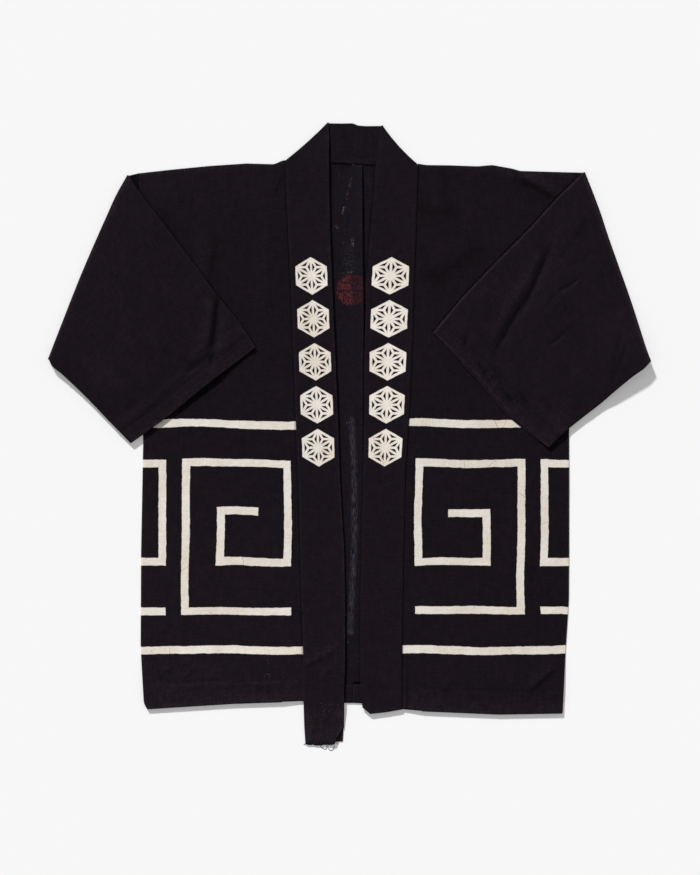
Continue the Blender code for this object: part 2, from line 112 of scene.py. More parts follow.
# ---- places, in millimetres
# x to the right, y towards the collar. Each edge is listed as (x, y) from the side inwards.
BODY = {
    "left": {
        "side": [(-309.2, 384), (-309.2, 110), (-302.9, -9), (-306, -172),
                 (-306.7, -312), (-301.9, -395), (-297.2, -403)],
        "shoulder": [(-309.4, 382.9), (-260.9, 388.3), (-205.7, 393.7), (-151, 397.4),
                     (-112, 396.3), (-107, 397.6), (-99.2, 401.4), (-93.3, 402.4)],
        "front_hem": [(-297.2, -403.9), (-169.7, -396), (-69.8, -392.7)],
        "back_hem": [(-297.2, -398.6), (-72, -391.5), (-58, -394.8), (5, -394.8)],
    },
    "right": {
        "side": [(330, 384.5), (328, 110), (322.6, 2), (322.6, -181),
                 (322.2, -243), (317.7, -315), (313, -408)],
        "shoulder": [(330.5, 384.1), (250.6, 386.4), (238.4, 389.9), (209.5, 395.1),
                     (188.2, 393.2), (147.8, 394.6), (112.5, 395.1),
                     (103.7, 396.6), (100.2, 397.2)],
        "front_hem": [(313, -410.1), (219, -411.7), (107.4, -407), (77.2, -404.6)],
        "back_hem": [(312.4, -403), (5, -394.8)],
    },
}

# The collar band down a front, one row for each place: y and x of its seam edge, y and x of
# its free edge, and how many layers each edge is raised, counted from the neck corner's height.
BAND = {
    "left": [
        (394, -93.3, 395, -29.8, 0, 0),
        (372, -93.3, 372, -29.5, -0.45, -0.45),
        (350, -92, 350, -29.2, -1, -1), (301, -89.9, 301, -28.2, -1, -1),
        (225, -86, 225, -25.2, -1, -1), (114, -81.5, 114, -20.2, -1, -1),
        (25, -79, 25, -16.4, -1, -1), (-66, -74.9, -66, -13.6, -1, -1),
        (-172, -72, -172, -7.2, -1, -1), (-243, -70, -243, -6, -1, -1),
        (-285, -68.8, -285, -6, -1, -1), (-330, -67.8, -330, -6, 0, 0),
        (-380, -67.8, -380, -7.6, 0, 0), (-399, -67.2, -399, -7.2, 0, 0),
        (-430, -66.3, -430, -7.6, -2, -2),
        (-455.2, -64.6, -453.6, -8.6, -2, -2),
    ],
    "right": [
        (393, 100.2, 391, 38, 0, 0), (372, 100.3, 372, 37.3, -0.45, 0),
        (350, 99.4, 350, 35.8, -1, 0), (301, 97.9, 301, 31.6, -1, 0),
        (225, 95.4, 225, 24.6, -1, 0), (114, 91.9, 114, 21.7, -1, 0),
        (25, 87.8, 25, 21.4, -1, 0), (-66, 81.7, -66, 20.2, -1, 0),
        (-172, 79.6, -172, 18, -1, 0), (-243, 78.4, -243, 16.5, -1, 0),
        (-285, 77.8, -285, 16.2, -1, 0), (-330, 77.2, -330, 16.1, 0, 0),
        (-380, 77.2, -380, 16.1, 0, 0), (-405.6, 77.2, -404, 18.8, 0, 0),
    ],
}
# Where the band's 45 degree folds run at the neck corners: (free edge, seam edge).
NECK_CORNER = {
    "left": ((-29.8, 456.2), (-94, 398.6)),
    "right": ((46.4, 452.2), (99.4, 393.6)),
}
CORNER_BOW = {"left": 1.5, "right": 2.8}  # how far those folds bow in
CORNER_REACH = 22 * MM  # and how far from them the cloth goes with them
# The band across the back neck: x, y of its seam, y of its free edge.
BACK_NECK = [(-12, 396.4, 456), (5, 395.4, 456.3), (12, 395.1, 453.2), (23, 394.6, 452.2)]

# A sleeve folded over its front. The crease is the fold line, from shoulder to underarm, and
# the cuff, top and underarm edges are those of the folded part, seen from above.
SLEEVE = {
    "left": {
        "armhole": [(-309.25, 383), (-309.25, 110.2)],
        "crease": [(-323.4, 379.4), (-340.2, 349.4), (-354.2, 318.5), (-389, 239), (-440, 108.4)],
        "cuff": [(-137.4, 127.1), (-210.7, 70.9), (-264.7, 27.1), (-320.8, -13.9)],
        "top": [(-323.4, 379.4), (-310.6, 358.4), (-271.4, 307), (-229, 250.8), (-193, 202.3),
                (-165.8, 168.8), (-137.4, 127.1)],
        "under": [(-440, 108.4), (-437.4, 102.6), (-419.8, 86.2), (-397, 64.7), (-376.2, 43.8),
                  (-357.1, 23.5), (-337.9, 3.8), (-320.8, -13.9)],
    },
    "right": {
        "armhole": [(330.05, 384.2), (328.05, 110.2)],
        "crease": [(343, 383.8), (355.8, 351.4), (366, 324), (375, 296.4), (392, 247.9),
                   (413.2, 187.1), (424.8, 148.3), (431, 127.7), (439.4, 105)],
        "cuff": [(122.1, 149), (186.8, 84.6), (238.4, 26.8), (268.8, -0.5), (292.6, -20.8)],
        "top": [(343, 383.8), (302.6, 344.2), (269.6, 307.4), (227.4, 264.7), (172.2, 207.4), (122.1, 149)],
        "under": [(439.4, 105), (433.4, 98), (414.8, 84), (391.5, 64.8), (368, 44.3), (341.7, 23.8),
                  (316.4, 3.2), (292.6, -20.8)],
    },
}

# Soft folds: x and y of both ends, half width and height.
FRONT_FOLDS = [
    (238, 384, 296, 352, 15, 1.4), (-197, 286, -205, 213, 26, 1.2),
    (160, 330, 130, 230, 24, 1),
]
SLEEVE_FOLDS = {
    "left": [
        (-193, 188, -201, 117, 20, -0.5), (-201, 117, -232, 96, 18, -0.5),
        (-330, 240, -300, 90, 34, 1.6),
    ],
    "right": [
        (292, 270, 211, 117, 20, -1), (335, 225, 287, 180, 20, 1.6),
        (396, 145, 384, 69, 22, 1.8), (180, 190, 168, 120, 20, 1.4),
    ],
}
# A sleeve's folded part: how far it stands off the front in the middle, at the cuff and along
# the crease, and how far the outer corner springs off the floor, within the given radius.
SLEEVE_LOFT = {
    "left": {"middle": 2.4, "crease": 1.4, "corner": 2.5, "radius": 90.0},
    "right": {"middle": 2.6, "crease": 1.8, "corner": 8.6, "radius": 100.0},
}
# The cuff, one row for each place along it from its top edge (0) to its underarm edge (1): the
# depth of its layers as a share of the solid's, its lift, and how far the lower cloth sticks out.
CUFF_EDGE = {
    "left": [
        (0, 0.78, 0, 0), (0.04, 0.58, 0, 0), (0.09, 0.4, 0, 0),
        (0.2, 0.42, 0, 0), (0.29, 0.95, 0.3, 0), (0.55, 0.95, 0.5, 0),
        (0.8, 0.9, 0, 0), (1, 0.8, 0, 0),
    ],
    "right": [
        (0, 0.4, 0, 0), (0.1, 0.32, 0, 0.8), (0.3, 0.32, 0, 3.6),
        (0.7, 0.34, 0, 4.4), (0.88, 0.4, 0.1, 2.4), (1, 0.62, 0.9, 0),
    ],
}
TOP_WEAR_AND_HIGHLIGHT = {"left": 0.12, "right": 0.85}  # wear along a folded sleeve's top edge, and a painted highlight where that edge faces the light
TOP_REACH, TOP_SHARPNESS = 0.8, 8  # its reach in columns, and how fast it fades inwards
CUFF_BLEND = 48  # the cuff is pressed down from this far inside its edge
SWELL = 2  # four times how much more it stands off midway between its edges
# Over which share of the way between crease and cuff each of these comes in, or goes out.
LOFT_RUN = {
    "crease": 0.4, "fold start": 0.25, "fold end": 0.1, "fine start": 0.08,
    "fine end": 0.03, "rumple start": 0.12,
}
SLEEVE_SEED = {"left": 80, "right": 120}

# Wear beside the edges: how pale the cloth is there, how far from the edge that fades, and 1 for
# a sharp fade or 2 for a round one.
WEAR = {
    "hem": (0.9, 5, 1), "turned hem": (0.38, 34, 2),
    "shoulder": (0.55, 6, 1), "side": (0.5, 4, 1), "cuff": (0.8, 5, 1),
    "turned cuff": (0.34, 26, 2), "sleeve crease": (0.7, 5, 2),
    "left band edge": (0.6, 3, 1), "right band edge": (0.2, 3, 1),
    "band seam": (0.4, 3, 1), "band end": (0.75, 6, 1),
}
# Wear on raised creases: the height for which it would be whole, and its limit.
RIDGE_WEAR = {"front": (2.4, 0.25), "sleeve": (2, 0.3), "band": (2, 0.35)}
SLEEVE_EDGE_WEAR = (0.75, 1.6)  # along a sleeve's flattened edges: wear, and its reach in columns
TURNED_WEAR = {"front hem": 0.5, "back": 0.1, "shoulder": 0.55, "side": 0.6, "allowance": 0.5, "in cuff": 0.3}

# Folds of the fronts that are rubbed pale: x, y, x, y, half width and share.
WORN_FOLDS = [
    (236, 394, 304, 357, 7, 0.36), (-296, -372, -90, -368, 18, 0.26),
    (-262, -367.5, -212, -366, 1.4, 0.2), (-212, -366, -74, -361.5, 1.4, 0.34),
    (-335, 350, -372, 250, 36, 0.16),
]
# The end of the left band, rubbed pale in the same way.
WORN_TAIL = [
    (-63, -404, -61.6, -452, 2, 0.85), (-58, -412, -57.4, -448, 1.2, 0.45),
    (-12.6, -400, -13, -436, 1.8, 0.8), (-16.6, -398, -16.4, -440, 1.1, 0.45),
    (-40, -414, -42, -444, 3, 0.16),
]

# Painted shade: the dark lines of folds and creases, a painted shadow in a strip under the left cuff,
# and shade beside the left sleeve's top edge and at the armhole, darkened in the colour. Listed like the
# fine creases; the last value is the share of the light that the painted shade takes away.
PAINTED_SHADE = {
    "front": [
        (-310, 396, -309.6, 340, 0, 3, 3, 0.5), (-286, 340, -250, 274, 0, 8, 8, 0.29),
        (-196.6, 298, -205, 204, 1, 2.6, 7, 0.46), (-96, 386, -113, 344, 0, 3.4, 3.4, 0.38),
        (137, 402, 138, 330, 0, 8, 8, 0.36), (92, 331, 166, 322, 0, 12, 14, 0.32),
        (100, 242, 146, 220, 0, 13, 13, 0.24), (206, 278, 108, 220, 0, 11, 11, 0.26),
        (230, 392, 306, 343, -1, 3.4, 5, 0.58), (258, -381, 306, -341, -1.5, 2.4, 2.6, 0.49),
        (137, -382, 152, -358, 1, 2.4, 2.4, 0.35), (-280, -362, -257, -339, 1, 2.2, 2.2, 0.4),
        (-170, -360, -170.6, -396, 0, 1.8, 1.8, 0.26), (-178, -362, -178.4, -390, 0, 1.4, 1.4, 0.16),
        (-118, -364, -118.4, -392, 0, 2, 2, 0.16), (-246, -365, -224, -342, 1, 2.2, 2.2, 0.38),
        (83.6, -306, 84.2, -428, 0, 1.3, 1.3, 0.5), (-140, 128, -264, 18, 0, 7, 7, 0.49),
        (-300, -362, -60, -363, 1.5, 2.4, 2.4, 0.14), (74, -369, 318, -376, -1.5, 2.4, 2.4, 0.14),
    ],
    "sleeve_left": [
        (-192.6, 213, -205.6, 88, 2, 2.1, 4.4, 0.44), (-192, 119.6, -243, 87.6, 0, 2.4, 3.6, 0.42),
        (-218, 107, -310, 22, -2.5, 2.3, 2.3, 0.35), (-281, 181, -254, 197, 0, 3, 3, 0.12),
        (-318, 96, -306, 60, 2, 5, 5, 0.12),
    ],
    "sleeve_right": [
        (297, 284, 206, 106, 3, 2.6, 6, 0.34), (212, 122, 208, 92, 0, 4, 5, 0.26),
        (238, 176, 226, 140, 0, 3, 12, 0.12), (212, 100, 222, 78, 0, 3, 4, 0.3),
        (218, 70, 242, 46, 0, 4, 6, 0.44), (244, 66, 262, 42, 1, 3.4, 3.4, 0.46),
        (186, 108, 202, 82, 0, 2.8, 2.8, 0.46), (347, 322, 334, 284, 0, 5, 5, 0.3),
        (340, 304, 306, 256, 0, 5, 5, 0.19), (312, 216, 285, 180, 0, 2.6, 3.4, 0.3),
        (338, 230, 306, 210, 0, 2.4, 2.4, 0.19), (316, 150, 288, 129, 0, 2.4, 3, 0.32),
        (404, 138, 381, 70, 2, 2.8, 5, 0.38), (164, 149, 172, 120, 0, 2.4, 2.4, 0.32),
        (193, 86, 205, 98, 0, 2, 2, 0.4), (201, 75, 214, 89, 0, 2, 2, 0.4),
        (211, 64, 224, 78, 0, 2, 2, 0.4),
    ],
    "armhole": [(-321, 392, -312, 354, 0, 7, 7, 0.85)],
}

# Fine creases: x and y of one end, x and y of the other, how far the line bows to the left of
# its run, its half width on the left and on the right of the line, and its height.
CREASES = {
    "front": [
        (-199, 296, -207, 208, 2, 4, 22, 1.2), (-216, 210, -226, 330, -6, 12, 9, 0.5),
        (-150, 372, -138, 90, 8, 16, 11, 0.45), (-118, 380, -121, 200, -4, 8, 6, 0.35),
        (-272, 332, -248, 262, -3, 9, 6, -0.5), (-104, 388, -110, 352, 0, 5, 4, 0.6),
        (-250, 372, -300, 352, 4, 9, 7, 0.5), (-279, -361, -257, -339, 1, 4, 2.2, 0.8),
        (-244, -363, -224, -342, 1, 4.5, 2.2, 0.8), (-270, -330, -180, -352, 5, 9, 6, 0.4),
        (-140, -340, -95, -331, 4, 8, 6, 0.35), (-232, 20, -226, -160, -7, 12, 10, 0.4),
        (-120, -20, -112, -240, 6, 12, 9, 0.35), (-268, -60, -276, -250, 6, 10, 8, 0.4),
        (139, 392, 134, 316, 3, 4, 18, 1.1), (117, 336, 152, 330, -1, 16, 4, 0.9),
        (137, 236, 112, 222, -2, 7, 8, -0.4), (180, 372, 176, 240, -5, 12, 9, 0.4),
        (224, 391, 308, 347, -1, 12, 4, 2.4), (246, 366, 262, 356, 0, 5, 5, -0.4),
        (150, 60, 158, -170, 8, 12, 9, 0.45), (118, -30, 124, -300, -6, 10, 7, 0.35),
        (232, -40, 226, -250, 6, 13, 10, 0.4), (296, -60, 303, -220, -4, 9, 7, 0.4),
        (258, -380, 285, -353, -1.5, 8, 2.6, 1.7), (272, -367, 306, -339, 1, 8, 2.6, 1.6),
        (137, -382, 152, -358, 1, 5, 2.4, 0.9), (190, -330, 235, -352, 3, 8, 6, 0.4),
        (80.6, -318, 81.6, -416, 0, 2, 4.5, 1.1),
    ],
    "sleeve_left": [
        (-190, 211, -204.6, 86, 2, 1.7, 4.8, -5.2), (-193, 119, -240, 89.5, 0, 2.2, 4.6, -3.6),
        (-213, 106, -244, 86, -1, 2.8, 4.6, -1.6), (-184, 206, -191, 100, 2, 8, 3.6, 1.2),
        (-201, 208, -212, 112, 2, 4, 12, 2.2), (-214, 128, -240, 104, -2, 12, 5, 1.2),
        (-225, 205, -260, 176, 3, 9, 6, 0.45), (-302, 160, -262, 118, -5, 9, 9, 0.5),
        (-352, 262, -330, 116, 7, 15, 11, 0.6), (-372, 120, -318, 60, -6, 11, 9, 0.5),
        (-282, 282, -268, 180, 8, 12, 9, 0.5), (-318, 96, -300, 40, 3, 8, 6, 0.45),
        (-400, 130, -366, 60, 4, 9, 7, 0.45), (-252, 118, -282, 62, 4, 9, 7, 0.4),
    ],
    "sleeve_right": [
        (296.5, 278, 243, 160, 3.4, 2.6, 5, -3.9), (260, 202, 209, 110, 1, 3, 5.4, -2.9),
        (283, 276, 232, 176, 3, 5, 13, 1), (250, 214, 202, 126, 2, 5, 12, 0.8),
        (300, 266, 266, 196, -2, 9, 4, 0.7), (337, 228, 303, 206, 2, 2.4, 4, -1.2),
        (305, 211, 286, 176, -2, 2.4, 4, -1.3), (318, 214, 296, 178, -2, 7, 5, 0.5),
        (335, 272, 322, 212, 3, 5, 8, -1), (322, 270, 306, 224, 2, 5, 9, 0.6),
        (319, 153, 291, 128, 2, 2.4, 4, -1.4), (336, 172, 308, 150, 2, 6, 5, 0.4),
        (397, 152, 383, 66, 3, 2.6, 6, -1.9), (405, 140, 396, 84, 3, 8, 6, 0.6),
        (177, 155, 168, 122, 2, 2.2, 4, -1.3), (212, 188, 196, 150, -3, 5, 7, -0.5),
        (258, 118, 226, 84, 3, 7, 7, 0.5), (350, 126, 318, 78, 4, 9, 7, 0.5),
        (262, 62, 306, 46, 4, 8, 6, 0.4), (360, 300, 372, 216, -5, 10, 8, 0.5),
        (397, 145.3, 385, 68.8, -3, 3, 5, -0.8), (174.3, 151.2, 168.4, 127.6, 1, 2.4, 4, -0.8),
        (336, 226, 305.1, 209, 1, 2.4, 4, -0.8),
    ],
    "band": [
        (-68, -343, -38, -326, 2.5, 7, 2.4, 1.3), (-48, -330, -22, -314, -1, 7, 2.4, 1.4),
        (-30, -322, -9, -307, 1, 6, 2.6, 1), (-44, -362, -29, -344, 2, 5, 2.2, 1),
        (-22, -320, -28, -352, 2, 5, 5, 0.5), (-56, -368, -30, -372, 2, 6, 5, 0.5),
        (-58, -418, -24, -414, 2, 6, 5, 0.5), (-50, -372, -46, -440, 2, 7, 6, 0.4),
        (-70, 120, -30, 96, 3, 8, 6, 0.35), (-68, -60, -28, -78, -3, 9, 6, 0.35),
        (-60, -190, -16, -176, 3, 8, 8, 0.35), (28, -352, 60, -366, 3, 7, 6, 0.4),
        (24, -90, 70, -76, -3, 9, 7, 0.35), (34, 176, 86, 158, 4, 9, 7, 0.35),
        (22, -402, 30, -380, 1, 4, 5, 0.7),
    ],
    "neck": [
        (-19, 448, -17, 402, 1, 3, 2.5, 0.9), (-10, 454, -12, 412, -1, 3, 4, 0.7),
        (9, 453, 7, 410, 1, 4, 3, 0.8), (16, 450, 20, 404, -1, 3.5, 3, 0.7),
        (30, 449, 33, 402, 0, 3, 2.5, 0.8),
    ],
}

# The cloth's fine unevenness: size across and along the warp, and height.
RUMPLE = [
    (62, 95, 0.38), (27, 44, 0.3), (12, 17, 0.16),
]
BAND_RUMPLE = 0.6  # share of that unevenness on the collar band
BACK_RUMPLE = 0.35  # share of it on the back, which lies pressed between its layers

# The centre-back allowance, pressed to the right: y, its width and how far its edge stands up.
LAP = [
    (396, 13.2, 0.8), (384, 13.2, 2.4), (345, 13.3, 3.9), (257, 13.8, 3.9),
    (169, 15.5, 3.4), (120, 15.5, 2.4), (60, 15.5, 1.2), (0, 15.5, 0.5),
]
# How far the left band's free edge stands up: y and height.
BAND_EDGE_LIFT = [(396, 2.9), (250, 3), (0, 2.2), (-200, 1.6), (-385, 1.8), (-425, 0.3)]
RIGHT_LIFT = 0.4  # the right band's share of that
FRONTS_END = 390 * MM  # above this y it fades towards the centre back,
CENTRE_LEVEL = 20 * MM  # from one and a half times this far to half of it
# The left band's outer cloth is torn away at its end: y and how much of its width is gone.
TORN_EDGE = [(-431, 0), (-438.5, 4.8), (-445.5, 9.2), (-451, 10.8), (-459, 11.2)]
# How much further the end of its outer cloth reaches: x and y.
LEFT_END = [(-65, 0), (-49, 2), (-36, 1.8), (-21.4, 1.5), (-8, 0)]
INNER_SHORT = 2.6 * MM  # how much shorter its inner cloth is, to the right
SHORT_FROM = (-22 * MM, 2 * MM)  # of this x, and the run to that
TORN_FROM = -433 * MM  # below this y
TORN_LIFT, TORN_RUN = 2.2 * MM, 14 * MM  # how far the torn cloth stands up, and over which run
FRAYED = 1.6 * MM  # unevenness of the cut end
FRAY_WIDTH = 1.7 * MM  # and the width of its tufts
# The cut corner of the band's right end: x and how far the end is moved.
RIGHT_END = [(18, 4), (22, 0.8), (30.5, -6), (52, -3.2), (77, 1.8)]

# Stretches of the band: the y at which each starts and the run over which it comes in, downwards
# where that is negative.
STRETCH = {
    "fronts": (388, -20), "back neck": (399, 6), "dark neck": (400, 8),
    "below the corners": (450, -30), "right end": (-372, -30),
    "worn end": (-380, -30), "left end": (-436, -17),
    "last centimetre": (-456, 10),
}
BAND_WIDTH = 62 * MM  # for its columns' spacing and its wear
NECK_SPREAD = 1.4  # spacing of its rows behind the neck, in steps
LAP_GAP = 0.3 * MM  # between a front's edge and the band's inner edge,
TUCK_GAP = 0.6 * MM  # and between the back's edge and the band's outer one
BAND_DIP = -0.3 * MM  # how far below its level its unevenness may dip
ROUND_CORNER = 1 / 7  # spacing of the rows from a front up to the neck corner's fold
LEFT_END_WORN = 0.42  # wear all over the left end
NECK_DARK = 0.18  # share of light that the outer cloth loses behind the neck,
NECK_DARK_SPAN = (8 * MM, 32 * MM, 3.4 * MM)  # about this x, this far to both sides, below this z

# ---- pattern, in millimetres
FRET_MIDDLE = -151  # y of the middle of the row of frets
FRET_START = 96  # from the centre back to the first fret's first bar
FRET_REPEAT = 184  # from one fret to the next
FRET_WIDE, FRET_TALL = 50, 72  # between the middles of neighbouring bars
FRET_BORDER = 166  # from the middle to a border bar
# A fret's bars, in steps: x and y of both ends.
FRET_BARS = [
    (0, 0, 3, 0), (3, 0, 3, 3), (0, 3, 3, 3), (0, 1, 0, 3), (0, 1, 2, 1),
    (2, 1, 2, 2), (1, 2, 2, 2),
]
DIPS_BESIDE = 12  # rows of the left band, from the neck down, beside which the front dips and has painted shade
LEAF_MIDDLE = 31.5  # from the band's free edge to a leaf's middle
LEAF_RADIUS = 25.5  # from a hemp leaf's middle to its corners
LEAF_REPEAT = 63  # from one leaf to the next
LEAF_COUNT = 5
LEAF_FIRST = 232  # y of the first leaf's middle
RED_MARK = (3.6, 211.6)  # middle of the worn red round inside the back
RED_RADIUS = 23.6
RED_CRACKS = [(3.7, 236), (3.7, 210.5), (-20, 210.9), (24, 210.4)]  # dark lines across it
LONG_STREAK = 60  # a longer line of paste than this is drawn out into strands
# Dried paste inside the back: each spot's or streak's points, half width and strength.
PASTE = [
    ([(-10.9, 324.6), (-6.6, 334.5)], 2.4, 0.41), ([(-18.3, 304.1)], 4, 0.27),
    ([(-7, 280.5)], 3, 0.41), ([(4.3, 286.4), (5, 276)], 3, 0.32),
    ([(2.3, 374.6), (-4.6, 345)], 3.2, 0.14), ([(-2, 268), (0, 246)], 15, 0.06),
    ([(19.6, 21.3)], 2, 0.36), ([(-2.7, 16)], 3, 0.23),
    ([(5.2, -197.2)], 1.8, 0.41), ([(5.7, -210.9)], 1.8, 0.36),
    ([(-2.7, -306)], 2.6, 0.32), ([(-2, -140)], 3, 0.18),
    ([(3, 22), (7, -60), (7.5, -150), (1, -290)], 6.5, 0.1),
    ([(-13, 234.5), (-4, 237), (4, 237.7)], 2, 0.22),
]


def layer(number):
    """Height of the middle of a cloth that lies on this many others."""
    return CLOTH / 2 + number * PITCH


def ease(share):
    """0 to 1 with level ends: 3 s^2 - 2 s^3."""
    share = np.clip(share, 0, 1)
    return share * share * (3 - 2 * share)


def stations(start, stop, step):
    """Evenly spaced values from start to stop, no more than about a step apart."""
    return np.linspace(start, stop, max(2, round(abs(stop - start) / step) + 1))


def run_length(points, axis):
    """Distance run so far along the rows (0) or columns (1) of a grid of points."""
    steps = np.linalg.norm(np.diff(points, axis=axis), axis=-1)
    zero = np.zeros_like(np.take(steps, [0], axis=axis))
    return np.concatenate([zero, np.cumsum(steps, axis=axis)], axis=axis)


def unit(vectors):
    """The vectors of the last axis, each made one long."""
    return vectors / np.linalg.norm(vectors, axis=-1, keepdims=True)


def curve(points, shares):
    """A cubic curve through the points (mm) with their mean slopes, read at these shares of
    its length, in metres."""
    points = np.array(points, float) * MM
    along = run_length(points, 0)
    along /= along[-1]
    slope = np.gradient(points, along, axis=0)
    shares = np.asarray(shares, float)
    i = np.clip(np.searchsorted(along, shares, side="right") - 1, 0, len(along) - 2)
    span = along[i + 1] - along[i]
    t = ((shares - along[i]) / span)[..., None]
    span = span[..., None]
    return (
        (2 * t**3 - 3 * t**2 + 1) * points[i]
        + (t**3 - 2 * t**2 + t) * span * slope[i]
        + (3 * t**2 - 2 * t**3) * points[i + 1]
        + (t**3 - t**2) * span * slope[i + 1]
    )


def read(points, at, column_in=0, column_out=1):
    """One column of a table (mm) as straight runs of another, in metres."""
    table = np.array(points, float) * MM
    table = table[np.argsort(table[:, column_in])]
    return np.interp(at, table[:, column_in], table[:, column_out])


def folds(table, x, y):
    """Height of the soft folds: rise * exp(-(distance / width)^2) about each row's line."""
    height = np.zeros_like(x)
    for x0, y0, x1, y1, width, rise in np.array(table) * MM:
        run = np.array([x1 - x0, y1 - y0])
        along = ((x - x0) * run[0] + (y - y0) * run[1]) / (run @ run)
        near = np.clip(along, 0, 1)
        off = np.hypot(x - x0 - near * run[0], y - y0 - near * run[1])
        height += rise * np.exp(-((off / width) ** 2))
    return height


def creases(table, x, y, fade=0.3):
    """Height of the fine creases. Each has a bowed line, a bell-shaped profile that is wider
    on one side of the line than on the other, and fades out over this share of its length
    towards both ends."""
    height = np.zeros_like(x)
    for x0, y0, x1, y1, bow, left, right, rise in np.array(table) * MM:
        run = np.array([x1 - x0, y1 - y0])
        length = math.hypot(*run)
        along = ((x - x0) * run[0] + (y - y0) * run[1]) / length**2
        off = ((y - y0) * run[0] - (x - x0) * run[1]) / length
        off = off - 4 * bow * along * (1 - along)
        width = np.where(off > 0, left, right)
        ends = ease(along / fade) * ease((1 - along) / fade)
        height += rise * ends * np.exp(-(np.abs(off / width) ** CREASE_SHARP))
    return height


def painted_shade_along(table, x, y):
    """The share of the light that painted shade takes from the folds of this table."""
    return creases(table, x, y, 0.2) / MM


def at_least(height, lowest, soft=0.3 * MM):
    """The height, but not below the lowest, with a soft bend between them."""
    return (height + lowest + np.sqrt((height - lowest) ** 2 + soft**2)) / 2


def rub(edge, distance):
    """Wear at a distance from an edge: strength * exp(-(distance / reach)^sharpness)."""
    strength, reach, sharpness = WEAR[edge]
    return strength * np.exp(-(np.abs(distance) / (reach * MM)) ** sharpness)


def rub_ridges(cloth, height):
    """Wear on what stands up: height / whole, no more than its limit."""
    whole, limit = RIDGE_WEAR[cloth]
    return np.clip(height / (whole * MM), 0, limit)


def bump_at(size, distance):
    """A low ridge: height * exp(-(distance / half width)^2)."""
    height, width = size
    return height * np.exp(-((distance / width) ** 2))


def uneven(x, y, seed):
    """Smooth value noise from -1 to 1: seeded random heights on a unit lattice, eased between."""
    heights = np.random.default_rng(seed).uniform(-1, 1, (256, 256))
    i, j = np.floor(x).astype(int), np.floor(y).astype(int)
    s, t = ease(x - i), ease(y - j)
    i, j = i % 255, j % 255
    low = heights[i, j] * (1 - s) + heights[i + 1, j] * s
    high = heights[i, j + 1] * (1 - s) + heights[i + 1, j + 1] * s
    return low * (1 - t) + high * t


def rumple(x, y, seed):
    """Unevenness of the cloth, in metres: one layer of noise for each row of the table, each
    bent by the one before it so that no lattice shows."""
    height, bend = 0, 0.0
    for number, (across, along, rise) in enumerate(RUMPLE):
        u = x / (across * MM) + 0.7 * bend
        v = y / (along * MM) - 0.5 * bend
        bend = uneven(u + 40 + 17 * number, v + 60, seed + number)
        height = height + rise * MM * bend
    return height


def turn(first, last, outward, bulge=None):
    """The rows between two rows, one above the other, round a half ellipse that bulges outward,
    by half the distance between them unless it is given."""
    middle, half = (first + last) / 2, (last - first) / 2
    reach = np.linalg.norm(half, axis=-1, keepdims=True) if bulge is None else bulge
    angles = np.pi * np.arange(1, TURN_STEPS) / TURN_STEPS
    angles = angles.reshape((-1,) + (1,) * first.ndim)
    return middle - half * np.cos(angles) + outward * reach * np.sin(angles)


# ---- grids to meshes
class Grid:
    """A grid of points with the place of each on the flat cloth, in metres, how worn it is, with a
    painted highlight along the sleeves' top edges, and the share of its light that painted shade
    in folds takes, and behind the neck a darker tone. A closed grid's last column joins its first;
    its flat places have one column more."""

    def __init__(self, points, flat, worn, flip=False, closed=False, keep=None, deep=0):
        self.points, self.flat = points, flat
        self.worn, self.deep = (np.broadcast_to(values, points.shape[:2]) for values in (worn, deep))
        self.flip, self.closed, self.keep = flip, closed, keep

    def faces(self, wide=False):
        """Corner numbers of the quads: a point, its right neighbour and the two below them."""
        rows, columns = self.points.shape[:2]
        across = columns + 1 if wide and self.closed else columns
        i, j = np.mgrid[: rows - 1, : columns if self.closed else columns - 1]
        k = (j + 1) % across
        quads = np.stack([i * across + j, i * across + k, (i + 1) * across + k, (i + 1) * across + j], -1)
        if self.keep is not None:
            quads = quads[self.keep]
        quads = quads.reshape(-1, 4)
        return quads[:, ::-1] if self.flip else quads


def placed(name, data):
    """A new object in the scene."""
    thing = bpy.data.objects.new(name, data)
    bpy.context.scene.collection.objects.link(thing)
    return thing


def joined(name, grids):
    """One mesh of all the grids."""
    starts = np.cumsum([0] + [g.points[..., 0].size for g in grids])
    faces = np.concatenate([g.faces() + start for g, start in zip(grids, starts)])
    mesh = bpy.data.meshes.new(name)
    mesh.from_pydata(np.concatenate([g.points.reshape(-1, 3) for g in grids]), [], faces)
    return mesh


def welded(mesh, materials, threads=False):
    """The mesh as a piece, its doubled points made one. Threads also lose the faces that this
    leaves without area, and have their faces turned outwards."""
    surface = bmesh.new()
    surface.from_mesh(mesh)
    bmesh.ops.remove_doubles(surface, verts=surface.verts, dist=WELD)
    if threads:
        bmesh.ops.dissolve_degenerate(surface, edges=surface.edges, dist=WELD)
        bmesh.ops.recalc_face_normals(surface, faces=surface.faces)
    surface.to_mesh(mesh)
    surface.free()
    for material in materials:
        mesh.materials.append(material)
    mesh.shade_smooth()
    return placed(mesh.name, mesh)


def sheet_object(name, grids, wall, materials):
    """One piece of cloth: its grids welded along their shared edges, and a wall set on both
    sides of them. The second material is that of the cloth's inner face."""
    mesh = joined(name, grids)
    flat = np.concatenate([g.flat.reshape(-1, 2)[g.faces(wide=True)].reshape(-1, 2) for g in grids])
    mesh.uv_layers.new(name="cloth").data.foreach_set("uv", flat.astype(np.float32).ravel())
    # wear with a painted highlight on the sleeves' top edges, and painted shade in folds with a darker tone
    # behind the neck
    for key in ("worn", "deep"):
        values = np.concatenate([getattr(g, key).reshape(-1) for g in grids])
        mesh.attributes.new(key, "FLOAT", "POINT").data.foreach_set("value", values.astype(np.float32))
    piece = welded(mesh, materials)
    shell = piece.modifiers.new("Wall", "SOLIDIFY")
    shell.thickness = wall
    shell.offset = 0.0
    shell.use_quality_normals = True
    shell.material_offset = len(materials) - 1
    return piece


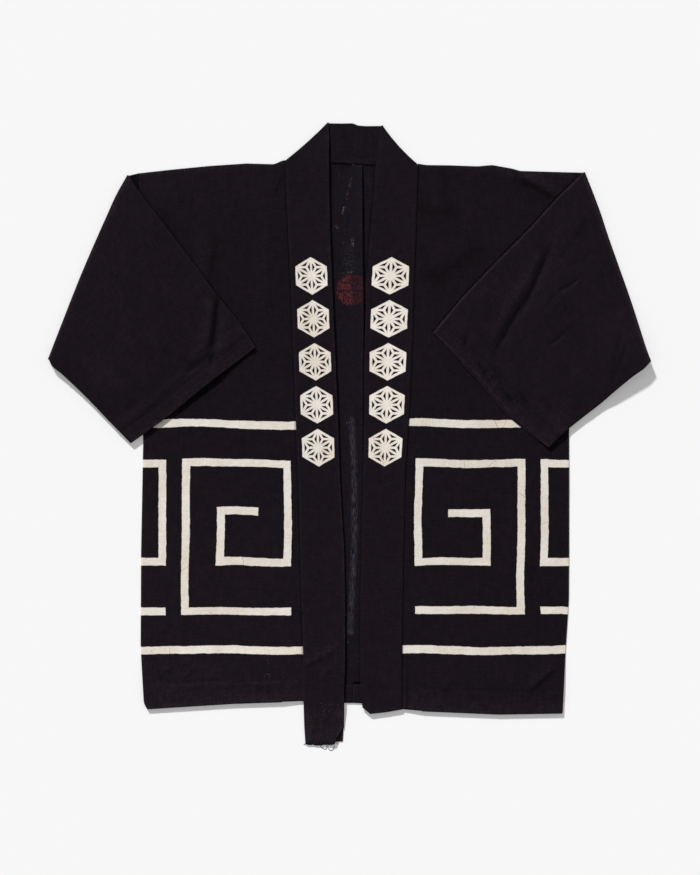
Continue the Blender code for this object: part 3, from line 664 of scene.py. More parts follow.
def fold_over(points, outward, turned):
    """Turn each row of points by its own angle about the line at FOLD_HEIGHT over its place:
    out = arm * sin(turned), height = FOLD_HEIGHT - arm * cos(turned)."""
    arm = FOLD_HEIGHT - points[..., 2]
    points[..., :2] += np.reshape(outward, (-1, 1, 2)) * (arm * np.sin(turned)[:, None])[..., None]
    points[..., 2] = FOLD_HEIGHT - arm * np.cos(turned)[:, None]


# ---- body widths
def back_neck_seam(x):
    """y of the band's seam edge across the back neck."""
    points = [NECK_CORNER["left"][1], *[row[:2] for row in BACK_NECK], NECK_CORNER["right"][1]]
    return read(points, x)


def rows_down(top, hem, step):
    """y of the rows of a panel: at set distances from its top and from its hem, and evenly
    spread between those."""
    first = top - stations(0, PANEL_TOP, step)[:, None]
    near_hem = np.concatenate([
        stations(HEM_RAMP, LAP_END, step)[:-1],
        stations(LAP_END, HEM_DEPTH, step)[:-1],
        stations(HEM_DEPTH, 0, step),
    ])
    last = hem + near_hem[:, None]
    middle = np.linspace(first[-1], last[0], round(PANEL_MIDDLE / step) + 1)[1:-1]
    return np.concatenate([first, middle, last])


def front_relief(x, y):
    """All the folds, creases and unevenness of a front."""
    return folds(FRONT_FOLDS, x, y) + creases(CREASES["front"], x, y) + rumple(x, y, 10)


def body_grids(side, step):
    """One loom width: its front, front hem, back, back hem, shoulder and side edge, and on the
    left width the allowance of the centre-back seam. Rows run down, columns inwards."""
    table = BODY[side]
    inward = 1 if side == "left" else -1
    down = np.array([0, -1, 0])
    flip = side == "left"

    def side_x(y):
        return read(table["side"], y, 1, 0)

    def seam_x(y):
        return read([(row[1], row[0]) for row in BAND[side]], y, 1, 0)

    def side_inset(y):
        """How far the side's edge is set in for its turn, which starts below the armhole."""
        return inward * INSET * ease((table["side"][1][1] * MM - y) / SIDE_CLOSES)

    def flat(points, front):
        """Across from the centre back, and down from the shoulder: negative on the back."""
        run = (SHOULDER - points[..., 1]) * (1 if front else -1)
        return np.stack([points[..., 0] - CENTRE_BACK, run], -1)

    def turned_up(panel, under, front):
        """The hem's turn below a panel's last row, and the cloth that lies turned up inside."""
        strip = np.concatenate([panel[-1:], turn(panel[-1], under[-1], down), under[::-1]])
        place = flat(strip, front)
        place[..., 1] = place[0, :, 1] + run_length(strip, 0) * (1 if front else -1)
        return Grid(strip, place, TURNED_WEAR["front hem" if front else "back"], flip == front)

    neck_x = seam_x(NECK_LEVEL) - inward * NECK_STEP
    outer_x = side_x(SHOULDER_LEVEL)
    share = stations(0, 1, step * FRONT_SPREAD / abs(neck_x - outer_x))
    count = len(share)
    shoulder_x = outer_x + share * (neck_x - outer_x)
    shoulder_y = read(table["shoulder"], shoulder_x) - INSET
    near_band = 1 - ease((share - 1 + BESIDE_BAND) / BESIDE_BAND)

    # front: the columns up to the neck, then two more inside the collar band
    cut_x = neck_x + inward * np.array([2 * NECK_STEP, NECK_STEP + BAND_LAP])
    top = np.concatenate([shoulder_y, back_neck_seam(cut_x) - NECK_GAP])
    hem_ends = side_x(HEM_LEVEL), seam_x(HEM_LEVEL)
    hem_x = hem_ends[0] + share * (hem_ends[1] - hem_ends[0])
    hem = read(table["front_hem"], np.concatenate([hem_x, hem_ends[1] + 0 * cut_x])) + INSET
    y = rows_down(top, hem, step)
    edge = np.concatenate([share, [1, 1]])
    offset = inward * np.array([0] * (count - 1) + [-NECK_STEP, NECK_STEP, BAND_LAP])
    x = side_x(y) + edge * (seam_x(y) - side_x(y)) + offset
    x[:, 0] += side_inset(y[:, 0])
    x[0, 1:count] = shoulder_x[1:]
    on_hem = 1 - ease((y - hem - HEM_SHELF) / (HEM_RAMP - HEM_SHELF))
    raised = 1 + np.concatenate([near_band, [0, 0]])
    free = np.concatenate([near_band, [0, 0]]) * ease((top - y) / TOP_RUN)
    relief = at_least(front_relief(x, y), LOWEST["front"]) * free * ease((y - hem) / TURN_RUN)
    ridge = bump_at(HEM_RIDGE, y - hem - HEM_DEPTH) * free
    front = np.stack([x, y, layer(1) + raised * PITCH * on_hem + relief + ridge], axis=-1)
    worn = np.maximum.reduce([
        rub("hem", y - hem),
        rub("turned hem", y - hem),
        rub("shoulder", top - y),
        rub("side", x - side_x(y)),
        rub_ridges("front", creases(CREASES["front"], x, y)),
        folds(WORN_FOLDS, x, y) / MM,
    ])
    # painted shade along the front's folds, a painted shadow under the left cuff, and shade beside the left
    # sleeve and at the armhole
    deep = painted_shade_along(PAINTED_SHADE["front"], x, y)
    grids = [Grid(front, flat(front, True), worn, flip, deep=deep)]

    # front hem, turned up inside; it stops short of the collar band
    last = np.searchsorted(share, 1 - BESIDE_BAND) + 1
    turned_rows = len(stations(HEM_DEPTH, 0, step))
    grids.append(turned_up(front[:, :last], front[-turned_rows:, :last] - [0, 0, PITCH], True))

    # back: the same columns up to the neck, then more across to the centre
    centre = CENTRE_BACK - SEAM_STEP if side == "left" else CENTRE_BACK + SEAM_GAP
    neck_in = neck_x + inward * 2 * NECK_STEP
    across = stations(neck_in, centre, BACK_SPREAD * step)
    if side == "left":
        across = np.append(across, CENTRE_BACK)
    tucked = BACK_TUCK * ease((abs(across - neck_in) - TUCK_FROM) / TUCK_FROM)
    if side == "left":
        tucked[-1] = 0
    top = np.concatenate([shoulder_y, back_neck_seam(across) - NECK_GAP + tucked])
    hem = read(table["back_hem"], np.concatenate([hem_x, across])) + INSET
    y = rows_down(top, hem, step)
    x = side_x(y)[:, :1] + 0 * y
    x[:, :count] = side_x(y[:, :count]) * (1 - share) + neck_x * share
    x[:, 0] += side_inset(y[:, 0])
    x[:, count:] = across
    x[0, 1:count] = shoulder_x[1:]
    from_side = abs(x - side_x(y))
    inside = ease((top - y) / BACK_TOP_RUN) * ease((y - hem - HEM_DEPTH) / BACK_RUN)
    inside = inside * ease(from_side / BACK_RUN)
    relief = BACK_RUMPLE * np.clip(rumple(x, y, 50) + BACK_RISE, 0, BACK_MOST) * inside
    beyond = ease((from_side - abs(neck_x - outer_x) - NECK_DIP_FROM) / NECK_DIP_RUN)
    relief = relief + beyond * bump_at(NECK_DIP, top - y)
    back = np.stack([x, y, layer(0) + relief], axis=-1)
    if side == "left":
        climb = ease((y[:, -1] - hem[-1] - HEM_DEPTH) / (LAP_END - HEM_DEPTH))
        back[:, -1, 2] = layer(0) + PITCH * climb
    grids.append(Grid(back, flat(back, False), TURNED_WEAR["back"], not flip))
    under = back[-turned_rows:].copy()
    under[..., 2] = layer(1)
    grids.append(turned_up(back, under, False))

    first, last = back[0, :count], front[0, :count]
    strip = np.concatenate([first[None], turn(first, last, -down), last[None]])
    place = flat(strip, True)
    place[..., 1] += run_length(strip, 0) - place[..., 1]
    grids.append(Grid(strip, place, TURNED_WEAR["shoulder"], flip))

    # the side seam, closed below the armhole
    rows = front[:, 0, 1] < SLEEVE[side]["armhole"][1][1] * MM
    first, last = back[rows, 0], front[rows, 0]
    bulge = INSET - CLOTH / 2
    strip = np.stack([first, *turn(first, last, np.array([-inward, 0, 0]), bulge=bulge), last], 1)
    place = flat(strip, True)
    place[..., 0] -= inward * (run_length(strip, 1)[:, -1:] - run_length(strip, 1))
    grids.append(Grid(strip, place, TURNED_WEAR["side"], flip))

    if side == "left":
        lapped = y[:, -1] - hem[-1] >= LAP_END - WELD
        out = stations(0, 1, 1 / LAP_COLUMNS)
        width, lift = (read(LAP, y[lapped, -1], 0, column)[:, None] for column in (1, 2))
        lap = np.stack([
            back[lapped, -1:, 0] + out * width,
            back[lapped, -1:, 1] + 0 * out,
            back[lapped, -1:, 2] + lift * out**2,
        ], -1)
        grids.append(Grid(lap, flat(lap, False), TURNED_WEAR["allowance"] * out**4, not flip))
    return grids


# ---- sleeves
def folded_place(table, f, s):
    """Place on the folded part of a sleeve, at shares f from top to underarm and s from crease
    to cuff: the Coons patch of its four edges."""
    crease, cuff = curve(table["crease"], f), curve(table["cuff"], f)
    top, under = curve(table["top"], s), curve(table["under"], s)
    a, b = np.array(table["crease"][0]) * MM, np.array(table["crease"][-1]) * MM
    d, c = np.array(table["cuff"][0]) * MM, np.array(table["cuff"][-1]) * MM
    f, s = f[..., None], s[..., None]
    corners = (1 - f) * ((1 - s) * a + s * d) + f * ((1 - s) * b + s * c)
    return (1 - s) * crease + s * cuff + (1 - f) * top + f * under - corners


def flattened_tube(plan, middle, half, inset, turned, outward):
    """The rings of a flattened tube: out along the lower cloth, round the underarm edge, back
    along the upper cloth and round the top edge. The plan holds each ring's line seen from
    above, inset moves its ends in, and turned is each ring's angle round the crease."""
    start, end = unit(plan[:, 1] - plan[:, 0]), unit(plan[:, -1] - plan[:, -2])
    squeeze = np.clip(1 - np.arange(plan.shape[1]) / EDGE_COLUMNS, 0, 1)[:, None]
    inset = inset[:, None]
    plan = plan + (start * inset)[:, None] * squeeze - (end * inset)[:, None] * squeeze[::-1]
    level = np.ones(plan.shape[:2])
    low = np.dstack([plan, level * (middle - half)[:, None]])
    high = np.dstack([plan[:, ::-1], level * (middle + half)[:, None]])
    flat = np.zeros((len(plan), 1))
    under_edge = turn(low[:, -1], high[:, 0], np.hstack([end, flat])).swapaxes(0, 1)
    top_edge = turn(high[:, -1], low[:, 0], np.hstack([-start, flat])).swapaxes(0, 1)
    rings = np.concatenate([low, under_edge, high, top_edge], axis=1)
    fold_over(rings, outward, turned)
    return rings


def sleeve_grid(side, step):
    """A sleeve: a flattened tube from the armhole to the crease, over it, and on to the cuff,
    where its edge is turned in."""
    table, loft = SLEEVE[side], SLEEVE_LOFT[side]
    share = stations(0, 1, step / SLEEVE_SPAN[side])
    crease = curve(table["crease"], share)
    armhole = curve(table["armhole"], share)
    chord = crease[-1] - crease[0]
    outward = np.array([chord[1], -chord[0]]) / np.linalg.norm(chord)
    if side == "right":
        outward = -outward
    inner, outer = PITCH / 2, 1.5 * PITCH        # half heights of the tube, and at the cuff
    length = np.linalg.norm(folded_place(table, share, 0 * share + 1) - crease, axis=1)
    high = layer(1) - outer                      # middle of the deeper tube at the cuff
    mean_length = length.mean()

    def stretch(plan, middle, half, edge, turned, s):
        """Rings that share a kind: their plans, and each number as one value a ring."""
        count = len(plan)
        numbers = [np.broadcast_to(v, count).astype(float) for v in (middle, half, edge, turned, s)]
        return plan, *numbers

    flat_part = armhole + stations(0, 1, 1 / 8)[:, None, None] * (crease - armhole)
    round_crease = np.pi * np.arange(1, CREASE_STEPS + 1) / CREASE_STEPS
    s = stations(0, 1, step / mean_length)[1:, None] * (1 - CUFF_FROM * CUFF_DEPTH / length)
    grown = stations(0, CUFF_RUN * CUFF_DEPTH, step)[1:, None]
    deepening = (1 - (CUFF_FROM * CUFF_DEPTH - grown) / length)[:-1]
    depths = stations(CUFF_FULL * CUFF_DEPTH, CLOTH, step)[:, None]
    cuff = folded_place(table, share, 1 - CLOTH / length)
    onward = unit(cuff - folded_place(table, share, 1 - CUFF_DEPTH / length))
    angle = np.pi * np.arange(1, TURN_STEPS) / TURN_STEPS
    round_cuff = cuff + onward * (inner * np.sin(angle))[:, None, None]
    back_in = stations(CLOTH, CUFF_DEPTH, 1.5 * step)[:, None]
    first, second, turned_in = ease(grown / grown[-1])[:-1, 0], 1 - depths / length, 1 - back_in / length
    deeper = inner + (outer - inner) * first
    mid = layer(0.5)

    def place(s):
        return folded_place(table, np.broadcast_to(share, s.shape), s)

    parts = [
        stretch(flat_part, mid, inner, inner, 0, 0),
        stretch(np.broadcast_to(crease, (CREASE_STEPS, *crease.shape)), mid, inner, inner, round_crease, 0),
        stretch(place(s), mid, inner, inner, np.pi, s.mean(1)),
        stretch(place(deepening), mid + (high - mid) * first, deeper, deeper, np.pi, deepening.mean(1)),
        stretch(place(second), high, outer, outer, np.pi, second.mean(1)),
        stretch(round_cuff, high, PITCH + inner * np.cos(angle), outer, np.pi, 1),
        stretch(place(turned_in), high, inner, outer, np.pi, turned_in.mean(1)),
    ]
    plan, middle, half, edge, turned, rows = (np.concatenate(column) for column in zip(*parts))
    points = flattened_tube(plan, middle, half, edge + CLOTH / 2, turned, outward)
    inside_cuff = len(rows) - len(back_in)
    rows = rows[:, None]
    x, y, z = np.moveaxis(points, -1, 0)
    folded = ease((z - layer(1)) / PITCH)
    ends = np.clip(4 * rows * (1 - rows), 0, 1)
    sides = TURN_STEPS - 1                       # columns round each flattened edge
    down_cuff = np.concatenate([share, np.ones(sides), share[::-1], np.zeros(sides)])
    pressed, raised, out = (np.interp(down_cuff, *np.array(CUFF_EDGE[side])[:, [0, i]].T) for i in (1, 2, 3))
    from_cuff = (1 - rows) * mean_length
    near_cuff = 1 - ease(from_cuff / (CUFF_BLEND * MM))
    z = layer(1.5) + (z - layer(1.5)) * (1 - near_cuff * (1 - pressed))
    direction = np.concatenate([
        onward, np.tile(onward[-1], (sides, 1)), onward[::-1], np.tile(onward[0], (sides, 1)),
    ])
    lower = np.arange(points.shape[1]) >= len(share) + sides
    points[..., :2] += (near_cuff**3 * out * MM * lower)[..., None] * direction

    # how far it stands off: in the middle, at the cuff, along the crease and at the corner
    stand = loft["middle"] * ends * (1 + SWELL * down_cuff * (1 - down_cuff)) + raised * near_cuff
    stand = stand + loft["crease"] * ease(1 - rows / LOFT_RUN["crease"])
    corner = crease[-1]
    reach = np.clip(np.hypot(x - corner[0], y - corner[1]) / (loft["radius"] * MM), 0, 1)
    inside = ease(rows / LOFT_RUN["fold start"]) * ease((1 - rows) / LOFT_RUN["fold end"])
    fine = creases(CREASES[f"sleeve_{side}"], x, y)
    fine = fine * ease(rows / LOFT_RUN["fine start"]) * ease((1 - rows) / LOFT_RUN["fine end"])
    fine = fine + rumple(x, y, SLEEVE_SEED[side]) * ease(rows / LOFT_RUN["rumple start"])
    fine = fine + bump_at(CUFF_EDGE_DIP, from_cuff - CUFF_DEPTH - CUFF_EDGE_FROM)
    lift = stand * MM + folds(SLEEVE_FOLDS[side], x, y) * inside + fine
    lowest = np.where(lower, LOWEST["sleeve's lower cloth"], LOWEST["sleeve"])
    lift = folded * at_least(lift, lowest * inside)
    over_front = np.maximum(folds(FRONT_FOLDS, x, y), 0)
    points[..., 2] = z + lift + folded * over_front + loft["corner"] * MM * (1 - reach**2) ** 2

    around = run_length(np.concatenate([points, points[:, :1]], 1)[len(points) // 2][None], 1)
    along = run_length(points, 0)[:, len(share) // 2, None]
    flat = np.stack(np.broadcast_arrays(along, around), -1)
    at_edge = np.abs(np.arange(points.shape[1]) - len(share) + 0.5 - TURN_STEPS / 2)
    at_edge = np.minimum(at_edge, np.abs(points.shape[1] / 2 - at_edge))
    edge_wear, edge_reach = SLEEVE_EDGE_WEAR
    # paleness along the folded sleeve's top edge: wear, and a painted highlight where it faces the light
    top_wear_and_highlight = TOP_WEAR_AND_HIGHLIGHT[side] * np.exp(-np.maximum(at_edge - TURN_STEPS / 2, 0) / TOP_REACH)
    worn = np.maximum.reduce([
        rub("cuff", from_cuff) * (rows > 0.5) + 0 * x,
        rub("turned cuff", from_cuff) * (rows > 0.5) + 0 * x,
        rub("sleeve crease", rows * mean_length) * folded,
        edge_wear * np.exp(-at_edge / edge_reach) + 0 * x,
        top_wear_and_highlight * (1 - down_cuff) ** TOP_SHARPNESS + 0 * x,
        rub_ridges("sleeve", fine) * folded,
        folds(WORN_FOLDS, x, y) / MM * folded,
    ])
    worn[inside_cuff:] = TURNED_WEAR["in cuff"]
    # painted shade along the folded part's creases, and at the armhole of the flat part
    deep = folded * painted_shade_along(PAINTED_SHADE[f"sleeve_{side}"], x, y) + (rows == 0) * painted_shade_along(PAINTED_SHADE["armhole"], x, y)
    return Grid(points, flat, worn, flip=side == "right", closed=True, deep=deep)


# ---- collar band
def along_band(stretch, y):
    """0 outside a stretch of the band and 1 inside it, eased over its run."""
    start, run = STRETCH[stretch]
    return ease((y - start * MM) / (run * MM))


def band_sections(seam, free, turned, outward, lap, tuck, lifts, share):
    """The band's sections, one for each row: along the inner leg from its edge, round the free
    edge and back along the outer leg to the seam. The inner leg lies on the outer one at the
    back neck, and below it where the band has turned over about FOLD_HEIGHT."""
    across = unit(free - seam)
    free = free - across * INSET
    width = np.linalg.norm(free - seam, axis=1)
    inner = lap[:, None] + share * (width - lap)[:, None]
    inner = seam[:, None] + across[:, None] * inner[..., None]
    end = seam + across * tuck[:, None]
    outer = free[:, None] + share[:, None] * (end - free)[:, None]
    level = np.ones((len(seam), len(share)))
    low = np.dstack([inner, level * layer(1)])
    high = np.dstack([outer, level * layer(0)])
    flat = np.zeros((len(seam), 1))
    edge = turn(low[:, -1], high[:, 0], np.hstack([across, flat])).swapaxes(0, 1)
    section = np.concatenate([low, edge, high], axis=1)
    at = ((section[..., :2] - seam[:, None]) * across[:, None]).sum(-1) / width[:, None]
    fold_over(section, outward, turned)
    blend = ease(np.clip(at, 0, 1))
    section[..., 2] += (lifts[:, :1] + (lifts[:, 1:] - lifts[:, :1]) * blend) * PITCH
    return section, at


def band_rows(side, step):
    """One side of the band as rows from its end up to the neck corner: places of its seam and
    free edges, angle round the corner's fold, its lap on the front, and its lifts."""
    table = np.array(BAND[side][::-1])
    y = stations(table[0, 0], table[-1, 0], step / MM)
    down = np.stack([np.interp(y, table[:, 0], table[:, column]) for column in range(6)], -1)
    free_corner, seam_corner = (np.array(point) * MM for point in NECK_CORNER[side])
    seam, free = down[:, [1, 0]] * MM, down[:, [3, 2]] * MM
    rise = stations(1, 0, ROUND_CORNER)[1:-1, None]
    seam_up = seam_corner + rise * (seam[-1] - seam_corner)
    free_up = free_corner + rise * (free[-1] - free_corner)
    angles = np.pi * (1 - np.arange(CREASE_STEPS + 1) / CREASE_STEPS)
    round_fold = np.ones((len(angles), 1))
    lap = BAND_LAP + LAP_GAP
    chord = free_corner - seam_corner
    outward = np.array([-chord[1], chord[0]]) / np.linalg.norm(chord)
    outward = outward if side == "left" else -outward
    rows = {
        "seam": np.concatenate([seam, seam_up, seam_corner * round_fold]),
        "free": np.concatenate([free, free_up, free_corner * round_fold]),
        "turned": np.concatenate([np.full(len(y) + len(rise), np.pi), angles]),
        "lap": np.concatenate([np.full(len(y), lap), lap * rise[:, 0], 0 * angles]),
        "tuck": np.zeros(len(y) + len(rise) + len(angles)),
        "lifts": np.concatenate([down[:, 4:], np.zeros((len(rise) + len(angles), 2))]),
    }
    rows["outward"] = np.broadcast_to(outward, rows["seam"].shape)
    return rows


def band_grid(step):
    """The band from its left end up the left front, across the back neck and down the right."""
    left, right = band_rows("left", step), band_rows("right", step)
    corners = [
        np.concatenate([left["seam"][-1], left["free"][-1]]),
        *[np.array([x, seam_y, x, free_y]) * MM for x, seam_y, free_y in BACK_NECK],
        np.concatenate([right["seam"][-1], right["free"][-1]]),
    ]
    corners = np.array(corners)
    run = run_length(corners, 0)
    at = stations(0, run[-1], NECK_SPREAD * step)[1:-1]
    neck = np.stack([np.interp(at, run, corners[:, column]) for column in range(4)], -1)
    empty = np.zeros(len(neck))
    middle = {
        "seam": neck[:, :2],
        "free": neck[:, 2:],
        "turned": empty,
        "lap": empty,
        "tuck": (BACK_TUCK + TUCK_GAP) * ease(at / TUCK_FROM) * ease((run[-1] - at) / TUCK_FROM),
        "lifts": np.zeros((len(neck), 2)),
        "outward": np.zeros((len(neck), 2)),
    }
    rows = {key: np.concatenate([left[key], middle[key], right[key][::-1]]) for key in left}
    share = stations(0, 1, step / BAND_WIDTH)
    points, at = band_sections(**rows, share=share)

    x, y = points[..., 0], points[..., 1]
    count = len(share)
    on_outer = np.arange(points.shape[1]) >= count + TURN_STEPS - 1
    fine = creases(CREASES["band"], x, y) * along_band("fronts", y)
    across_neck = along_band("back neck", y) * creases(CREASES["neck"], x, y)
    uneven_cloth = np.maximum(BAND_RUMPLE * rumple(x, y, 160), BAND_DIP) * along_band("last centimetre", y)
    relief = (fine + across_neck + uneven_cloth) * ease(1.15 - np.abs(2 * at - 1) ** 6)
    points[..., 2] += np.maximum(relief, LOWEST["band"])
    on_left = x < CENTRE_BACK
    lift = read(BAND_EDGE_LIFT, y) * ease((at - 0.5) / 0.5) * along_band("below the corners", y)
    from_centre = ease(np.abs(x - CENTRE_BACK) / CENTRE_LEVEL - 0.5)
    lift = lift * np.where(y < FRONTS_END, 1, from_centre)
    points[..., 2] += np.where(on_left, lift, RIGHT_LIFT * lift)

    # the folds at the neck corners bow in
    for side, bow in CORNER_BOW.items():
        free, seam = (np.array(point) * MM for point in NECK_CORNER[side])
        run = (free - seam) / np.linalg.norm(free - seam)
        outward = np.array([-run[1], run[0]]) * (1 if side == "left" else -1)
        from_seam = points[..., :2] - seam
        along = np.clip((from_seam @ run) / np.linalg.norm(free - seam), 0, 1)
        bowed = bow * MM * 4 * along * (1 - along) * np.exp(-((from_seam @ outward / CORNER_REACH) ** 2))
        points[..., :2] -= bowed[..., None] * outward

    # the right end's cut corner
    points[..., 1] += read(RIGHT_END, x) * along_band("right end", y) * (x > CENTRE_BACK)

    # the left end is frayed, and its outer cloth is torn away along the free edge
    points[0, :, 1] += FRAYED * uneven(x[0] / FRAY_WIDTH + 90, 0 * x[0] + 7.5, 31)
    points[..., 1] -= read(LEFT_END, x) * along_band("left end", y) * on_left * on_outer
    inner_end = along_band("left end", y) * on_left * ~on_outer
    points[..., 1] += INNER_SHORT * inner_end * ease((x - SHORT_FROM[0]) / SHORT_FROM[1])
    torn = read(TORN_EDGE, y) * on_left * on_outer
    along_outer = np.clip(at, 0, 1) ** 3
    points[..., 0] -= torn * along_outer
    points[..., 2] += TORN_LIFT * (torn > 0) * ease((TORN_FROM - y) / TORN_RUN) * along_outer * on_outer
    rows_torn = (y[:-1, -1] < TORN_FROM) & on_left[:-1, -1]
    columns = np.arange(points.shape[1] - 1)
    at_fold = (columns >= count - 1) & (columns < count + TURN_STEPS - 1)
    keep = ~(rows_torn[:, None] & at_fold)

    around = run_length(points[len(points) // 4][None], 1)
    middle_line = points[:, -count // 2]
    along = run_length(middle_line[:, None], 0)
    centre = np.argmin(np.abs(middle_line[:, 0] - CENTRE_BACK) + 10 * (middle_line[:, 1] < 0.38))
    flat = np.stack(np.broadcast_arrays(around[:, -1:] - around, along - along[centre]), -1)
    end = np.minimum(np.abs(along), np.abs(along[-1] - along))
    from_free = (1 - at) * BAND_WIDTH
    worn = np.maximum.reduce([
        np.where(on_left, rub("left band edge", from_free), rub("right band edge", from_free)),
        rub("band seam", at * BAND_WIDTH),
        rub("band end", end) + 0 * x,
        LEFT_END_WORN * along_band("worn end", y) * on_left,
        rub_ridges("band", relief),
    ])
    worn = worn + folds(WORN_TAIL, x, y) / MM
    # behind the neck the band is a darker tone, carried in the painted shade's attribute
    middle_x, reach, top_z = NECK_DARK_SPAN
    dark = (np.abs(x - middle_x) < reach) * (points[..., 2] < top_z)
    deep = NECK_DARK * along_band("dark neck", y) * dark
    return Grid(points, flat, worn, flip=True, keep=keep, deep=deep)


# ---- threads
TUBE_SIDES = 5  # faces round a thread
STITCH_SHIFT = 0.12  # how far stitches stray along their row, in spacings
STITCH_LENGTHS = (0.75, 1.25)
STITCH_ASIDE, STITCH_SLANT = 0.35, 0.5  # and beside it, and how far they slant, in millimetres
LOOSE_STEPS = 7  # straight runs of a loose thread
LOOSE_BEND = 1.6  # how far it may bend, in radians
LOOSE_LIFT = 0.3  # how far its middle stands up
LOOP_STEPS = 20  # places along a pulled loop
ABOVE = 0.1  # a height above all of the coat


def tubes(x, y, z, radius):
    """Many thin closed tubes along paths, one path a row: at each point a ring in the plane across
    the run, whose radius (mm) shrinks to nothing at both ends."""
    paths = np.stack([x, y, z], -1)
    radii = np.full(x.shape, radius * MM)
    radii[:, [0, -1]] = 0
    run = unit(np.gradient(paths, axis=1))
    beside = unit(np.cross(run, [0, 0, 1]))
    above = np.cross(beside, run)
    angle = 2 * np.pi * np.arange(TUBE_SIDES) / TUBE_SIDES
    ring = beside[..., None, :] * np.cos(angle)[:, None] + above[..., None, :] * np.sin(angle)[:, None]
    points = paths[..., None, :] + radii[..., None, None] * ring
    return [Grid(p, p[:, list(range(TUBE_SIDES)) + [0], :2], 0, closed=True) for p in points]


def tube_object(name, grids, material):
    """Closed threads as one piece, their end rings merged to points."""
    return welded(joined(name, grids), [material], threads=True)


def surface_below(name):
    """A function that gives the height of a piece's top surface at each of some places."""
    tree = BVHTree.FromObject(bpy.data.objects[name], bpy.context.evaluated_depsgraph_get())

    def height(x, y):
        hit = tree.ray_cast(Vector((x, y, ABOVE)), Vector((0, 0, -1)))[0]
        return 0.0 if hit is None else hit.z

    return np.vectorize(height)


def stitch_tubes(line, spacing, length, radius, height, dice):
    """Running stitches along a line of places (mm) on a piece: short low arches, a little
    uneven in place, length and slant."""
    line = np.array(line) * MM
    run = run_length(line, 0)
    starts = np.arange(0.5 * spacing * MM, run[-1] - length * MM, spacing * MM)
    starts = starts + dice.uniform(-STITCH_SHIFT, STITCH_SHIFT, len(starts)) * spacing * MM
    lengths = length * MM * dice.uniform(*STITCH_LENGTHS, len(starts))
    share = np.linspace(0, 1, 6)
    at = starts[:, None] + lengths[:, None] * share
    x, y = np.interp(at, run, line[:, 0]), np.interp(at, run, line[:, 1])
    y = y + dice.uniform(-STITCH_ASIDE, STITCH_ASIDE, (len(starts), 1)) * MM
    y = y + (share - 0.5) * dice.uniform(-STITCH_SLANT, STITCH_SLANT, (len(starts), 1)) * MM
    z = height(x, y) + radius * MM * (1.1 * np.sin(np.pi * share) - 0.3)
    return tubes(x, y, z, radius)


def loose_tubes(starts, lengths, radius, heading, spread, height, dice):
    """Loose thread ends: from each start (mm) a thin curving thread that lies on what is below."""
    share = np.linspace(0, 1, LOOSE_STEPS + 1)
    turns = [(dice.uniform(-spread, spread), dice.uniform(-LOOSE_BEND, LOOSE_BEND)) for _ in starts]
    aside, bend = np.array(turns).T[..., None]
    turned = math.radians(heading) + aside + bend * share[1:]
    step = np.array(lengths)[:, None] * MM / LOOSE_STEPS
    first = np.array(starts)[..., None] * MM
    x = np.concatenate([first[:, 0], first[:, 0] + np.cumsum(np.cos(turned) * step, 1)], 1)
    y = np.concatenate([first[:, 1], first[:, 1] + np.cumsum(np.sin(turned) * step, 1)], 1)
    z = height(x, y) + (radius + LOOSE_LIFT * np.sin(np.pi * share)) * MM
    return tubes(x, y, z, radius)


def loop_tubes(lines, radius, height):
    """Thin threads that lie along these lines (mm) on what is below."""
    x, y = np.moveaxis([curve(line, np.linspace(0, 1, LOOP_STEPS)) for line in lines], -1, 0)
    return tubes(x, y, height(x, y) + radius * MM, radius)


# Rows of stitches: the cloth that they are on, their line (x and y), the spacing, length and
# radius of the stitches, all in millimetres.
STITCHES = {
    "body_left_stitches": ("body_left_cloth", [
        ([(-295, -373), (-170, -368.5), (-75, -366)], 9.5, 1.9, 0.34),
        ([(-26, 392.6), (4.5, 391.4)], 4.6, 2.6, 0.34),
        ([(-5, -370), (4, -370)], 5, 1.8, 0.3),
    ]),
    "body_right_stitches": ("body_right_cloth", [
        ([(310, -382), (219, -384.5), (107.4, -380.5), (86, -378.5)], 9.5, 1.9, 0.34),
        ([(7, -370), (15, -370)], 5, 1.8, 0.3),
    ]),
    "sleeve_left_stitches": ("sleeve_left_cloth", [
        ([(-155, 133), (-225, 97), (-249.1, 80.6), (-271.2, 58.6), (-323, 12)], 6.5, 2.6, 0.34),
    ]),
    "sleeve_right_stitches": ("sleeve_right_cloth", [
        ([(132, 163), (172, 126), (220, 76), (256, 38), (302, -6)], 6.5, 2.2, 0.34),
    ]),
    "collar_band_stitches": ("collar_band_cloth", [
        ([(28, -404), (52, -402.5), (76, -399.5)], 6, 2.4, 0.34),
    ]),
}
# Threads of the cut end of the left band: x and length.
TAIL_FRAY = [
    (-63, 7.1), (-60.5, 5.4), (-57, 6.2), (-54.5, 7.4), (-50, 8), (-47.5, 5.8), (-44, 5.2),
    (-40, 6.6), (-36.5, 5), (-33, 6.4), (-31, 5.6), (-27, 7.2), (-25.5, 4.8), (-22.5, 7),
    (-19, 6),
]
